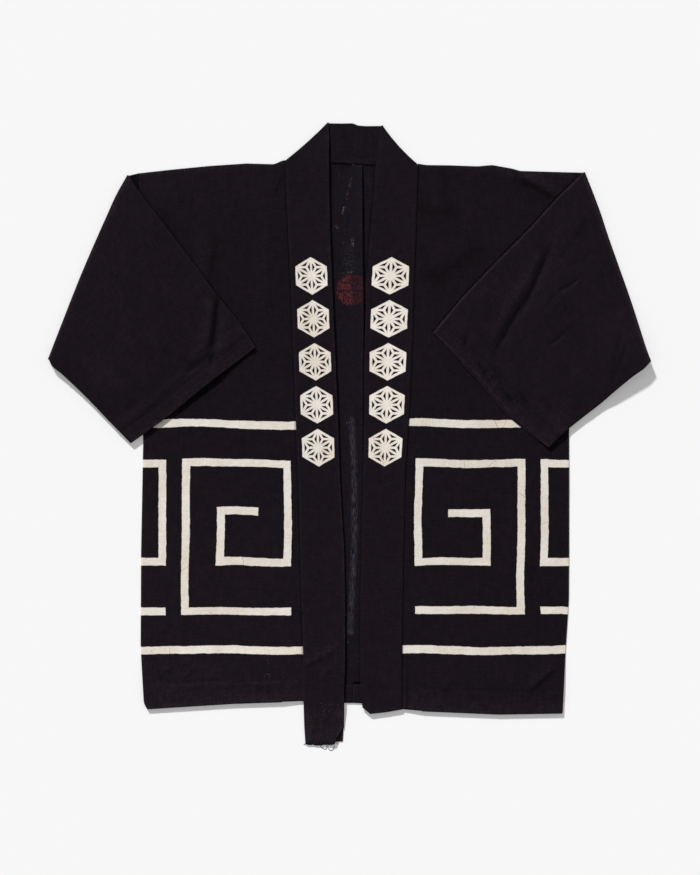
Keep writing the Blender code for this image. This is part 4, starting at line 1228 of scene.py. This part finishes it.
# Loose thread ends: the cloth that they are on, their tone, and for each group its starts, their
# lengths, radius, heading in degrees and how far that varies in radians.
LOOSE = {
    "tail_threads": ("collar_band_cloth", "dark", [
        ([(x, -451) for x, _ in TAIL_FRAY], [length for _, length in TAIL_FRAY], 0.38, -90, 0.35),
    ]),
    "tail_remnants": ("collar_band_cloth", "pale", [
        ([(-43, -395), (-41, -399.5), (-36, -397), (-30, -396.5), (-24, -397.2), (-18.5, -395.5),
          (-38, -405), (-31, -406), (-25, -405.4), (-20, -406.2)],
         [3.4, 2.6, 2.8, 3.2, 2.4, 3.8, 2.6, 3, 2.8, 2.2], 0.34, -10, 0.9),
    ]),
    "sleeve_right_lint": ("sleeve_right_cloth", "pale", [
        ([(334.4, 224.7), (330, 221), (240.4, 48.3), (263.9, 48.3), (206, 84), (177, 118)],
         [3.6, 2.8, 3.2, 3, 2.4, 2.6], 0.30, -40, 1.2),
    ]),
    "body_left_lint": ("body_left_cloth", "pale", [
        ([(-121, -331), (-118.5, -335), (-122, -350), (-118, -354), (-120, -352),
          (-124, -354), (-116, -351)],
         [3.6, 3, 4.2, 4, 3.6, 3, 3], 0.36, -60, 1.2),
    ]),
}
LOOP_RADIUS = 0.36
# Threads pulled out of the cut end in loops: their places, x and y.
LOOPS = {
    "tail_threads": [
        [(-43, -455), (-42.4, -458.9), (-38, -461.6), (-34.6, -462.4), (-33.2, -459.6), (-33.6, -455)],
        [(-31, -455), (-31.6, -459.8), (-28.6, -464), (-26.4, -464.4), (-22.4, -459.6), (-22.6, -455)],
    ],
}


# ---- materials
# Roughness, how much the fibres add to it, specular level, sheen and its tint.
FINISH = {
    "cotton": (0.88, 0, 0.04, 0.015, (0.6, 0.5, 0.6)),
    "thread": (0.75, 0.1, 0.1, 0.02, (0.6, 0.5, 0.6)),
    "paper": (0.90, 0.02, 0, 0, (1, 1, 1)),
}
# Noises over the flat cloth: cells to the metre across and along it, shifts and detail.
NOISES = {
    "clouds": (16, 11, 0, 0, 3), "blotches": (120, 85, 3, 7, 3),
    "grain": (380, 300, 0, 0, 2), "warp": (900, 26, 0, 0, 2),
    "weft": (30, 900, 0, 5, 2), "tint": (60, 45, 9, 1, 3),
    "wobble": (95, 95, 2, 2, 3), "wobble too": (90, 100, 8, 4, 3),
    "drift": (7, 7, 1, 5, 1),
}
# How much of each noise there is in the dye's light, in the wear, in the cream and, in
# millimetres, in the cloth's height and in how far a pattern strays across and up.
SHARES = {
    "dye": {"blotches": 0.66, "clouds": 0.27, "grain": 0.96, "warp": 0.75, "weft": 0.75},
    "wear": {"grain": 1.4, "blotches": 1.0},
    "cream": {"weft": 0.20, "warp": 0.20, "grain": 0.16, "blotches": 0.16},
    "height": {"warp": 0.16, "weft": 0.16, "grain": 0.20, "blotches": 0.55},
    "fret across": {"wobble": 2.4, "drift": 8},
    "fret up": {"wobble too": 2.4, "drift": 12},
    "leaf across": {"wobble": 1.8},
    "leaf up": {"wobble too": 1.8},
    "round": {"grain": 7, "blotches": 7},
}
# How light the dye is, and the cream: the general light; the patches added to it and those it is
# raised by, each with its share and the y and x (metres) from which and to which it comes in, None
# where it doesn't change that way; and how much it falls to the right, all over and low down, which
# is painted shade: the light's fall-off away from the left, painted into the colour.
SHADES = {
    "fret": (1.110, [(-0.175, (-0.30, 0.22), None)],
             [(0.16, (0.30, 0.36), (0.05, -0.20)), (0.07, (0.05, 0.20), (0.05, 0.12))], (0.02, 0.46)),
    "leaf": (1.08, [(-0.060, (-0.30, -0.10), (0.02, -0.02))], [], None),
    "plain": (1.10, [(-0.030, None, (0.05, -0.05))], [], None),
    "inside": (1, [], [], None),
    "fret cream": (1, [(-0.045, None, (-0.05, 0.05))], [], None),
    "leaf cream": (1.02, [(0.08, None, (-0.02, 0.02))], [], None),
}
LOW_DOWN = (0.15, -0.35)  # y from which and to which the hips are reached
MOST_SHADE_AND_TONE = 0.9  # the most light that painted shade and the darker tone behind the neck may take away
NECK_DYE = (0.0072, 0.0066, 0.0098)  # bluer dye behind the neck,
NECK_DYE_FROM, NECK_DYE_SHARE = (0.398, 0.410), 0.25  # from this y to that, and how much of it
EDGE = (0.55, -0.35)  # distance over which the paste's edge goes from dye to cream
# Cracks in the paste: cell size, turn, width, the clouds in which they are, and their share.
CRACKS = ((46, 60), 0.5, (0.008, 0.003), (0.57, 0.62), 0.45)
# Brown spots on the cream: cell size, width, the grain in which they are, share and colour.
SPOTS = ((9, 9), (0.09, 0.04), (0.45, 0.60), 0.5, (0.45, 0.33, 0.17))
SUNK = (3.4, 0.6)  # where a cloth starts and stops dipping, with painted shade, beside what lies on it
SUNK_PAINTED_SHADE = {"inside": 0.20}  # share of light taken there by painted shade,
SUNK_PAINTED_SHADE_ELSE = 0.36  # and on the other cloths
WEAVE_HEIGHT, SUNK_DEPTH = 0.05, 0.5  # in millimetres


class Socket:
    """A socket of a material's nodes. Sums on it add Math nodes of the named kind."""

    def __init__(self, maker, socket):
        self.maker, self.socket = maker, socket

    def math(self, operation, *others):
        values = dict(enumerate((self, *others)))
        node = self.maker.node("ShaderNodeMath", {"operation": operation}, values)
        return Socket(self.maker, node.outputs[0])

    __add__ = __radd__ = partialmethod(math, "ADD")
    __sub__ = partialmethod(math, "SUBTRACT")
    __mul__ = __rmul__ = partialmethod(math, "MULTIPLY")
    __truediv__ = partialmethod(math, "DIVIDE")
    __abs__ = partialmethod(math, "ABSOLUTE")
    least = partialmethod(math, "MINIMUM")
    most = partialmethod(math, "MAXIMUM")

    def __rsub__(self, other):
        return (self * -1.0) + other

    def wrapped(self, low, high):
        return self.math("WRAP", high, low)

    def between(self, low, high):
        """0 at low, 1 at high, eased between. With low above high it falls instead."""
        settings = {"interpolation_type": "SMOOTHSTEP"}
        ends = {"From Min": low, "From Max": high, "To Min": 0, "To Max": 1.0}
        if low > high:
            ends = {"From Min": high, "From Max": low, "To Min": 1, "To Max": 0.0}
        node = self.maker.node("ShaderNodeMapRange", settings, {"Value": self, **ends})
        return Socket(self.maker, node.outputs["Result"])


class Maker:
    """A material and the nodes that are added to it."""

    def __init__(self, name):
        self.material = bpy.data.materials.new(name)
        self.material.use_nodes = True
        self.tree = self.material.node_tree
        self.shader = self.tree.nodes["Principled BSDF"]

    def node(self, kind, settings=None, inputs=None):
        """A node of this type, with its settings made first and then its sockets' values."""
        node = self.tree.nodes.new(kind)
        for key, value in (settings or {}).items():
            setattr(node, key, value)
        for key, value in (inputs or {}).items():
            if isinstance(value, Socket):
                self.tree.links.new(value.socket, node.inputs[key])
            else:
                node.inputs[key].default_value = value
        return node

    def coordinates(self, output):
        return Socket(self, self.node("ShaderNodeTexCoord").outputs[output])

    def flat(self):
        """The cloth's own flat coordinates, in metres."""
        return Socket(self, self.node("ShaderNodeUVMap", {"uv_map": "cloth"}).outputs["UV"])

    def attribute(self, name):
        node = self.node("ShaderNodeAttribute", {"attribute_name": name})
        return Socket(self, node.outputs["Fac"])

    def parts(self, vector):
        node = self.node("ShaderNodeSeparateXYZ", None, {0: vector})
        return [Socket(self, node.outputs[i]) for i in range(3)]

    def vector(self, x, y, z=0):
        node = self.node("ShaderNodeCombineXYZ", None, {0: x, 1: y, 2: z})
        return Socket(self, node.outputs[0])

    def moved(self, vector, scale=(1, 1, 1), shift=(0, 0, 0), turned=0):
        inputs = {"Vector": vector, "Scale": scale, "Location": shift, "Rotation": (0, 0, turned)}
        return Socket(self, self.node("ShaderNodeMapping", None, inputs).outputs[0])

    def noise(self, vector, detail=2):
        """Noise from 0 to 1, with cells about one unit across."""
        inputs = {"Vector": vector, "Scale": 1, "Detail": detail, "Roughness": 0.5}
        return Socket(self, self.node("ShaderNodeTexNoise", None, inputs).outputs[0])

    def nearest(self, feature, vector):
        """Distance to the nearest of random points about one unit apart (F1), or to the nearest
        edge between their cells (DISTANCE_TO_EDGE)."""
        inputs = {"Vector": vector, "Scale": 1.0}
        node = self.node("ShaderNodeTexVoronoi", {"feature": feature}, inputs)
        return Socket(self, node.outputs["Distance"])

    def mix(self, factor, first, second):
        """From the first colour to the second, as the factor goes from 0 to 1."""
        node = self.node("ShaderNodeMix", {"data_type": "RGBA"}, {0: factor})
        for index, colour in ((6, first), (7, second)):
            if isinstance(colour, Socket):
                self.tree.links.new(colour.socket, node.inputs[index])
            else:
                node.inputs[index].default_value = (*colour[:3], 1)
        return Socket(self, node.outputs[2])

    def scaled(self, colour, factor):
        """The colour, lighter or darker by the factor."""
        grey = self.vector(factor, factor, factor)
        node = self.node("ShaderNodeVectorMath", {"operation": "MULTIPLY"}, {0: colour, 1: grey})
        return Socket(self, node.outputs[0])

    def finish(self, kind, colour, height, fibres=None):
        """Join the worked-out looks to the shader; what is even all over is set on it. The
        height, in millimetres, becomes a bump."""
        even, uneven_share, specular, sheen, tint = FINISH[kind]
        inputs = {"Height": height * MM, "Strength": 1.0, "Distance": 1.0}
        normal = Socket(self, self.node("ShaderNodeBump", None, inputs).outputs[0])
        self.tree.links.new(colour.socket, self.shader.inputs["Base Color"])
        self.tree.links.new(normal.socket, self.shader.inputs["Normal"])
        if fibres is not None:
            roughness = fibres * uneven_share + even
            self.tree.links.new(roughness.socket, self.shader.inputs["Roughness"])
        values = {"Roughness": even, "Specular IOR Level": specular, "Sheen Weight": sheen,
                  "Sheen Roughness": 0.5, "Sheen Tint": (*tint, 1)}
        for key, value in values.items():
            self.shader.inputs[key].default_value = value
        return self.material


def bars_distance(p, q, bars, half):
    """Distance outside the nearest of some straight bars, each max(|p - x| - a, |q - y| - b)."""
    nearest = None
    for x0, y0, x1, y1 in bars:
        beside = abs(p - (x0 + x1) / 2) - (abs(x1 - x0) / 2 + half)
        above = abs(q - (y0 + y1) / 2) - (abs(y1 - y0) / 2 + half)
        bar = beside.most(above)
        nearest = bar if nearest is None else nearest.least(bar)
    return nearest


def fret_distance(x, y, half):
    """Distance, in millimetres, outside the hip pattern: a row of tall frets between two border
    bars, mirrored about the centre back."""
    p = (abs(x) - (FRET_START - half)).wrapped(0, FRET_REPEAT) - half
    q = y - (FRET_MIDDLE - 1.5 * FRET_TALL)
    bars = [[value * (FRET_WIDE, FRET_TALL)[i % 2] for i, value in enumerate(bar)] for bar in FRET_BARS]
    border = abs(abs(y - FRET_MIDDLE) - FRET_BORDER) - half
    return bars_distance(p, q, bars, half).least(border)


def line_distance(x, y, line):
    """Distance from a line of straight runs through these points."""
    nearest = None
    for (x0, y0), (x1, y1) in zip(line, line[1:]):
        length = math.hypot(x1 - x0, y1 - y0)
        east, north = (x1 - x0) / length, (y1 - y0) / length
        from_x, from_y = x - x0, y - y0
        beside = from_y * east - from_x * north
        along = from_x * east + from_y * north
        beyond = (abs(along - length / 2) - length / 2).most(0)
        run = (beside * beside + beyond * beyond).math("SQRT")
        nearest = run if nearest is None else nearest.least(run)
    return nearest


def mirrored(x, y, degrees):
    """A place folded over the line through the origin at this angle, on to its lower side."""
    across, up = -math.sin(math.radians(degrees)), math.cos(math.radians(degrees))
    over = (x * across + y * up).most(0) * 2
    return x - over * across, y - over * up


def leaf_distance(x, y, half):
    """Distance, in millimetres, outside a hemp leaf: a hexagon with lines from its middle and
    from the middles of its six triangles. It is folded twelve times into one wedge."""
    x, y = mirrored(*mirrored(abs(x), abs(y), 60), 30)
    side = LEAF_RADIUS * math.sqrt(3) / 2
    centroid = LEAF_RADIUS / math.sqrt(3)
    spoke = abs(y * math.sqrt(0.75) - x * 0.5)
    outline = abs(x - side)
    inner = abs(y).most(x - centroid)
    slanted = abs((x - centroid) * math.sqrt(0.75) - y * 0.5)
    nearest = spoke.least(outline).least(inner).least(slanted) - half
    return nearest.most(x - side - half)


def leaves_distance(x, y, half):
    """Distance outside a column of hemp leaves on the band, x from the band's free edge."""
    reach = LEAF_REPEAT / 2
    step = y.wrapped(LEAF_FIRST - reach, LEAF_FIRST + reach) - LEAF_FIRST
    column = abs(y - (LEAF_FIRST - reach * (LEAF_COUNT - 1))) - reach * LEAF_COUNT
    return leaf_distance(x - LEAF_MIDDLE, step, half).most(column)


def blend(sway, use):
    """The sum of the noises, each about zero, times this use's shares of them."""
    parts = [sway[key] * share for key, share in SHARES[use].items()]
    return reduce(operator.add, parts)


def shade(kind, x, y):
    """How light a cloth's dye or cream is from place to place, as its row of SHADES says."""
    def patch(share, along, across):
        value = share if along is None else y.between(*along) * share
        return value if across is None else x.between(*across) * value

    general, added, raised, painted_falloff = SHADES[kind]
    light = general
    for row in added:
        light = patch(*row) + light
    # painted shade: the fronts darken towards the right, away from the light that comes from the left
    if painted_falloff is not None:
        light = light - x * (y.between(*LOW_DOWN) * painted_falloff[1] + painted_falloff[0])
    for row in raised:
        light = light * (patch(*row) + 1)
    return light


def undyed(maker, kind, flat, noise, sway, x, y, base, colours):
    """The cream cloth that the paste kept: aged in clouds, with brown spots and fine dark lines
    where the paste had cracked."""
    cells, turned, width, among, share = CRACKS
    moved = maker.moved(flat, scale=[1 / (size * MM) for size in cells] + [1], turned=turned)
    hairline = maker.nearest("DISTANCE_TO_EDGE", moved).between(*width) * noise["clouds"].between(*among)
    sizes, reach, grainy, spot_share, brown = SPOTS
    moved = maker.moved(flat, scale=[1 / (size * MM) for size in sizes] + [1])
    spots = maker.nearest("F1", moved).between(*reach) * noise["grain"].between(*grainy)
    cream = maker.mix(noise["clouds"].between(0.35, 0.65), colours.cream, colours.cream_aged)
    cream = maker.mix(spots * spot_share, cream, brown)
    cream = maker.scaled(cream, shade(f"{kind} cream", x, y) * (blend(sway, "cream") + 1))
    return maker.mix(hairline * share, cream, base)


def cotton(name, kind, base, colours, sizes, beside=()):
    """Old indigo-dyed plain-weave cotton. Its colour drifts in clouds and along its threads, it
    pales where it is worn and where a highlight is painted on, it is darker where shade is painted
    into its folds, and a pattern is kept cream by paste resist. On the fronts it is painted darker
    to the right, as shade. It dips beside the edges of what lies on it, given as lines, and has
    painted shade there."""
    maker = Maker(name)
    flat = maker.flat()
    u, v, _ = maker.parts(flat)
    x, y, _ = maker.parts(maker.coordinates("Object"))
    noise = {
        key: maker.noise(maker.moved(flat, scale=(across, along, 1), shift=(right, up, 0)), detail)
        for key, (across, along, right, up, detail) in NOISES.items()
    }
    sway = {key: value - 0.5 for key, value in noise.items()}

    colour = maker.mix(noise["tint"].between(0.30, 0.70), base, colours.faded)
    # wear, and the painted highlight along the sleeves' top edges
    pale_wear_and_highlight = (maker.attribute("worn") * (blend(sway, "wear") + 1)).between(0, 1)
    colour = maker.mix(pale_wear_and_highlight, colour, colours.pale_wear_and_highlight)
    # painted shade in folds, and behind the neck a darker tone; away from the frets both are also tinted
    # towards the inner face's bluer colour
    deep = maker.attribute("deep").least(MOST_SHADE_AND_TONE)
    if kind != "fret":
        colour = maker.mix(deep * 1.1, colour, colours.inner)
    light = (blend(sway, "dye") + 1) * shade(kind, x, y)
    colour = maker.scaled(colour, light * (1.0 - deep))
    if kind == "leaf":
        colour = maker.mix(y.between(*NECK_DYE_FROM) * NECK_DYE_SHARE, colour, NECK_DYE)
    if kind in ("fret", "leaf"):
        drawn = {"fret": (fret_distance, sizes.bar_width), "leaf": (leaves_distance, sizes.line_width)}
        distance, line = drawn[kind]
        across, up = blend(sway, f"{kind} across") + u / MM, blend(sway, f"{kind} up") + y / MM
        kept = distance(across, up, line / MM / 2).between(*EDGE)
        colour = maker.mix(kept, colour, undyed(maker, kind, flat, noise, sway, x, y, base, colours))
    if kind == "inside":
        colour = inside_marks(maker, colour, colours, x / MM, y / MM, sway)

    weave = [place.math("MULTIPLY", math.pi / sizes.weave).math("SINE") for place in (u, v)]
    height = weave[0] * weave[1] * WEAVE_HEIGHT + blend(sway, "height")
    # painted shade and a dip beside the edges of what lies on the cloth
    if beside:
        near = [line_distance(x / MM, y / MM, line).between(*SUNK) for line in beside]
        sunk_and_painted_shade = reduce(Socket.most, near)
        colour = maker.scaled(colour, 1.0 - sunk_and_painted_shade * SUNK_PAINTED_SHADE.get(kind, SUNK_PAINTED_SHADE_ELSE))
        height = height - sunk_and_painted_shade * SUNK_DEPTH
    return maker.finish("cotton", colour, height)


def inside_marks(maker, colour, colours, x, y, sway):
    """The marks inside the back: a worn red round, and dried paste down the middle."""
    off_x, off_y = x - RED_MARK[0], y - RED_MARK[1]
    from_middle = (off_x * off_x + off_y * off_y).math("SQRT") + blend(sway, "round")
    flecks, flakes, strands = (
        maker.noise(maker.vector(x / wide, y / tall), 2) for wide, tall in ((2.4, 4.4), (1.6, 2.6), (1.3, 11))
    )
    red = from_middle.between(RED_RADIUS + 1.5, RED_RADIUS - 3) * (flecks.between(0.36, 0.66) * 0.85 + 0.08)
    lines = line_distance(x + sway["grain"] * 4, y + sway["blotches"] * 4, RED_CRACKS)
    red = red * (1.0 - lines.between(2.4, 0.4) * 0.75) * (1.0 - x.between(3.4, 5.6) * 0.62)
    colour = maker.mix(red, colour, colours.red)
    for line, width, share in PASTE:
        loose = flakes.between(0.50, 0.66)
        if len(line) == 1:
            line = [line[0], (line[0][0] + 0.5, line[0][1])]
        elif math.dist(line[0], line[-1]) > LONG_STREAK:
            loose = strands.between(0.40, 0.64)
        near = line_distance(x + sway["grain"] * 3, y + sway["blotches"] * 5, line)
        colour = maker.mix(near.between(width, 0.2 * width) * loose * share, colour, colours.paste)
    return colour


def fibrous(maker, cells, detail):
    """A fine noise in all directions, with this many cells to the metre."""
    return maker.noise(maker.moved(maker.coordinates("Object"), scale=(cells, cells, cells)), detail)


def thread_material(name, colour):
    """Twisted sewing cotton, a little uneven along its length."""
    maker = Maker(name)
    twist = fibrous(maker, 1500, 1)
    mixed = maker.mix(twist, *([share * part for part in colour] for share in (0.75, 1.25)))
    return maker.finish("thread", mixed, (twist - 0.5) * 0.08, twist)


def floor_material(colour):
    """Plain matt paper with a faint glow."""
    maker = Maker("floor_paper")
    fibre = fibrous(maker, 300, 2)
    maker.shader.inputs["Emission Color"].default_value = (1, 1, 1, 1)
    maker.shader.inputs["Emission Strength"].default_value = PAPER_GLOW
    paper = maker.mix(fibre, colour, [0.995 * part for part in colour])
    return maker.finish("paper", paper, (fibre - 0.5) * 0.01, fibre)


# ---- properties
def length_property(name, description, default):
    """A length, in metres."""
    return FloatProperty(name=name, description=description, default=default, unit="LENGTH")


def colour_property(name, description, default):
    """A colour, in linear values."""
    return FloatVectorProperty(name=name, description=description, subtype="COLOR", size=3, default=default)


class HappiSizes(bpy.types.PropertyGroup):
    """Sizes of the coat's cloth and sewing."""

    wall: length_property("Wall", "Thickness of the cotton", 0.6 * MM)
    body_step: length_property("Body step", "Spacing of a body width's points", 3.2 * MM)
    sleeve_step: length_property("Sleeve step", "Spacing of a sleeve's points", 2.1 * MM)
    band_step: length_property("Band step", "Spacing of the collar band's points", 2.9 * MM)
    weave: length_property("Weave", "Width of one thread", 0.7 * MM)
    bar_width: length_property("Bars", "Width of a cream bar", 11 * MM)
    line_width: length_property("Lines", "Width of a line of the hemp leaves", 3.2 * MM)


class HappiColours(bpy.types.PropertyGroup):
    """Colours of the coat."""

    indigo: colour_property("Indigo", "Cloth where the dye is deepest", (0.0066, 0.0046, 0.0074))
    faded: colour_property("Brown cast", "Cloth where the dye has gone brown", (0.0080, 0.0051, 0.0074))
    # also the colour of the painted highlight along the sleeves' top edges
    pale_wear_and_highlight: colour_property("Rubbed", "Cloth along worn edges", (0.0155, 0.0105, 0.0145))
    band: colour_property("Band", "Cloth of the collar band", (0.0074, 0.0051, 0.0080))
    # also the bluer tint of the painted shade on the sleeves, and of the darker tone behind the neck
    inner: colour_property("Inside", "Inner face of the cloth", (0.0066, 0.0056, 0.0094))
    cream: colour_property("Cream", "Undyed cotton", (0.712, 0.661, 0.601))
    cream_aged: colour_property("Aged cream", "Undyed cotton gone yellow", (0.664, 0.597, 0.520))
    red: colour_property("Red", "The worn round inside the back", (0.090, 0.0185, 0.0210))
    paste: colour_property("Paste", "Dried paste and lint", (0.30, 0.28, 0.33))
    thread: colour_property("Thread", "Sewing thread", (0.0042, 0.0034, 0.0052))
    lint: colour_property("Lint", "Pale thread ends", (0.042, 0.039, 0.047))
    floor: colour_property("Floor", "The paper that the coat lies on", (0.705, 0.705, 0.705))


# ---- operators
def dress(piece, node):
    """Make a piece stand for a node, whose part is hidden, and ride with the coat."""
    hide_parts(node)
    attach(piece, "root")


def laid_on(piece):
    """Make threads ride with the coat."""
    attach(piece, "root")


class HAPPI_OT_body(bpy.types.Operator):
    """Lay out the two loom widths, each a front and a back in one length of cloth"""

    bl_idname = "happi.body"
    bl_label = "Body widths"

    def execute(self, context):
        sizes, colours = context.scene.happi_sizes, context.scene.happi_colours
        # beside these edges the fronts get painted shade, and the inside beside the right band's free edge
        seam = [(row[1], row[0]) for row in BAND["left"][:DIPS_BESIDE]]
        edges = [SLEEVE["left"]["top"], SLEEVE["right"]["top"], seam]
        outer = cotton("indigo_cotton_fret", "fret", colours.indigo, colours, sizes, edges)
        free_edge = [(row[3], row[2]) for row in BAND["right"]]
        inner = cotton("indigo_cotton_inside", "inside", colours.inner, colours, sizes, [free_edge])
        for side in ("left", "right"):
            grids = body_grids(side, sizes.body_step)
            piece = sheet_object(f"body_{side}_cloth", grids, sizes.wall, [outer, inner])
            dress(piece, f"body_{side}")
        return {"FINISHED"}


class HAPPI_OT_sleeves(bpy.types.Operator):
    """Fold the sleeves over the fronts"""

    bl_idname = "happi.sleeves"
    bl_label = "Sleeves"

    def execute(self, context):
        sizes, colours = context.scene.happi_sizes, context.scene.happi_colours
        outer = cotton("indigo_cotton_plain", "plain", colours.indigo, colours, sizes)
        for side in ("left", "right"):
            grid = sleeve_grid(side, sizes.sleeve_step)
            piece = sheet_object(f"sleeve_{side}_cloth", [grid], sizes.wall, [outer])
            dress(piece, f"sleeve_{side}")
        return {"FINISHED"}


class HAPPI_OT_band(bpy.types.Operator):
    """Lay the collar band round the neck and down both fronts"""

    bl_idname = "happi.band"
    bl_label = "Collar band"

    def execute(self, context):
        sizes, colours = context.scene.happi_sizes, context.scene.happi_colours
        cloth = cotton("band_cotton_leaf", "leaf", colours.band, colours, sizes)
        piece = sheet_object("collar_band_cloth", [band_grid(sizes.band_step)], sizes.wall, [cloth])
        dress(piece, "collar_band")
        return {"FINISHED"}


class HAPPI_OT_sewing(bpy.types.Operator):
    """Sew the hems and cuffs, and lay out the frayed and loose threads"""

    bl_idname = "happi.sewing"
    bl_label = "Stitches and threads"

    def execute(self, context):
        colours = context.scene.happi_colours
        tones = {
            "dark": thread_material("sewing_thread", colours.thread),
            "pale": thread_material("pale_thread", colours.lint),
        }
        dice = np.random.default_rng(5)
        for name, (cloth, rows) in STITCHES.items():
            height = surface_below(cloth)
            grids = [grid for row in rows for grid in stitch_tubes(*row, height, dice)]
            laid_on(tube_object(name, grids, tones["dark"]))
        for name, (cloth, tone, rows) in LOOSE.items():
            height = surface_below(cloth)
            grids = [grid for row in rows for grid in loose_tubes(*row, height, dice)]
            if name in LOOPS:
                grids += loop_tubes(LOOPS[name], LOOP_RADIUS, height)
            laid_on(tube_object(name, grids, tones[tone]))
        return {"FINISHED"}


CAMERA_LENS = 85.0  # millimetres, on a 36 mm frame
CAMERA_PLACE = (0.0008, -0.0050, 3.0330)  # straight above the middle of the view
SUN_FROM = (-0.34, 0.80, 0.48)  # from beyond the collar, a little left, low
SUN_STRENGTH = 4.50
SUN_SOFTNESS = 5.0  # degrees across
ROOM_LIGHT = 0.405
PAPER_GLOW = 0.16  # light from below the paper, which thins the shadows
FLOOR_REACH, FLOOR_LEVEL = 40, -0.05 * MM  # half its width, and its height


class HAPPI_OT_stage(bpy.types.Operator):
    """Set the paper floor, the window light and the camera straight above"""

    bl_idname = "happi.stage"
    bl_label = "Stage"

    def execute(self, context):
        scene = context.scene
        scene.view_settings.view_transform = "Standard"
        mesh = bpy.data.meshes.new("paper_floor")
        corners = ((-1, -1), (1, -1), (1, 1), (-1, 1))
        corners = [(FLOOR_REACH * x, FLOOR_REACH * y, FLOOR_LEVEL) for x, y in corners]
        mesh.from_pydata(corners, [], [(0, 1, 2, 3)])
        mesh.materials.append(floor_material(scene.happi_colours.floor))
        placed("paper_floor", mesh)

        sun = bpy.data.lights.new("window_sun", "SUN")
        sun.energy = SUN_STRENGTH
        sun.angle = math.radians(SUN_SOFTNESS)
        placed("window_sun", sun).rotation_euler = Vector(SUN_FROM).to_track_quat("Z", "Y").to_euler()
        world = bpy.data.worlds.new("pale_room")
        world.use_nodes = True
        sky = world.node_tree.nodes["Background"].inputs
        sky["Color"].default_value = (1, 1, 1, 1)
        sky["Strength"].default_value = ROOM_LIGHT
        scene.world = world

        lens = bpy.data.cameras.new("camera")
        lens.lens = CAMERA_LENS
        scene.camera = placed("camera", lens)
        scene.camera.location = CAMERA_PLACE
        return {"FINISHED"}


class HAPPI_PT_panel(bpy.types.Panel):
    """The coat's sizes, colours and steps"""

    bl_idname = "HAPPI_PT_panel"
    bl_label = "Happi coat"
    bl_space_type = "VIEW_3D"
    bl_region_type = "UI"
    bl_category = "Happi coat"

    def draw(self, context):
        layout = self.layout
        for group in (context.scene.happi_sizes, context.scene.happi_colours):
            for name in group.__annotations__:
                layout.prop(group, name)
        for step in STEPS:
            layout.operator(step.bl_idname)


STEPS = (HAPPI_OT_stage, HAPPI_OT_body, HAPPI_OT_sleeves, HAPPI_OT_band, HAPPI_OT_sewing)
CLASSES = (HappiSizes, HappiColours, *STEPS, HAPPI_PT_panel)


def register():
    for kind in CLASSES:
        bpy.utils.register_class(kind)
    bpy.types.Scene.happi_sizes = PointerProperty(type=HappiSizes)
    bpy.types.Scene.happi_colours = PointerProperty(type=HappiColours)


def unregister():
    del bpy.types.Scene.happi_colours
    del bpy.types.Scene.happi_sizes
    for kind in reversed(CLASSES):
        bpy.utils.unregister_class(kind)


def main():
    register()
    bpy.ops.happi.stage()
    bpy.ops.happi.body()
    bpy.ops.happi.sleeves()
    bpy.ops.happi.band()
    bpy.ops.happi.sewing()


if __name__ == "__main__":
    main()
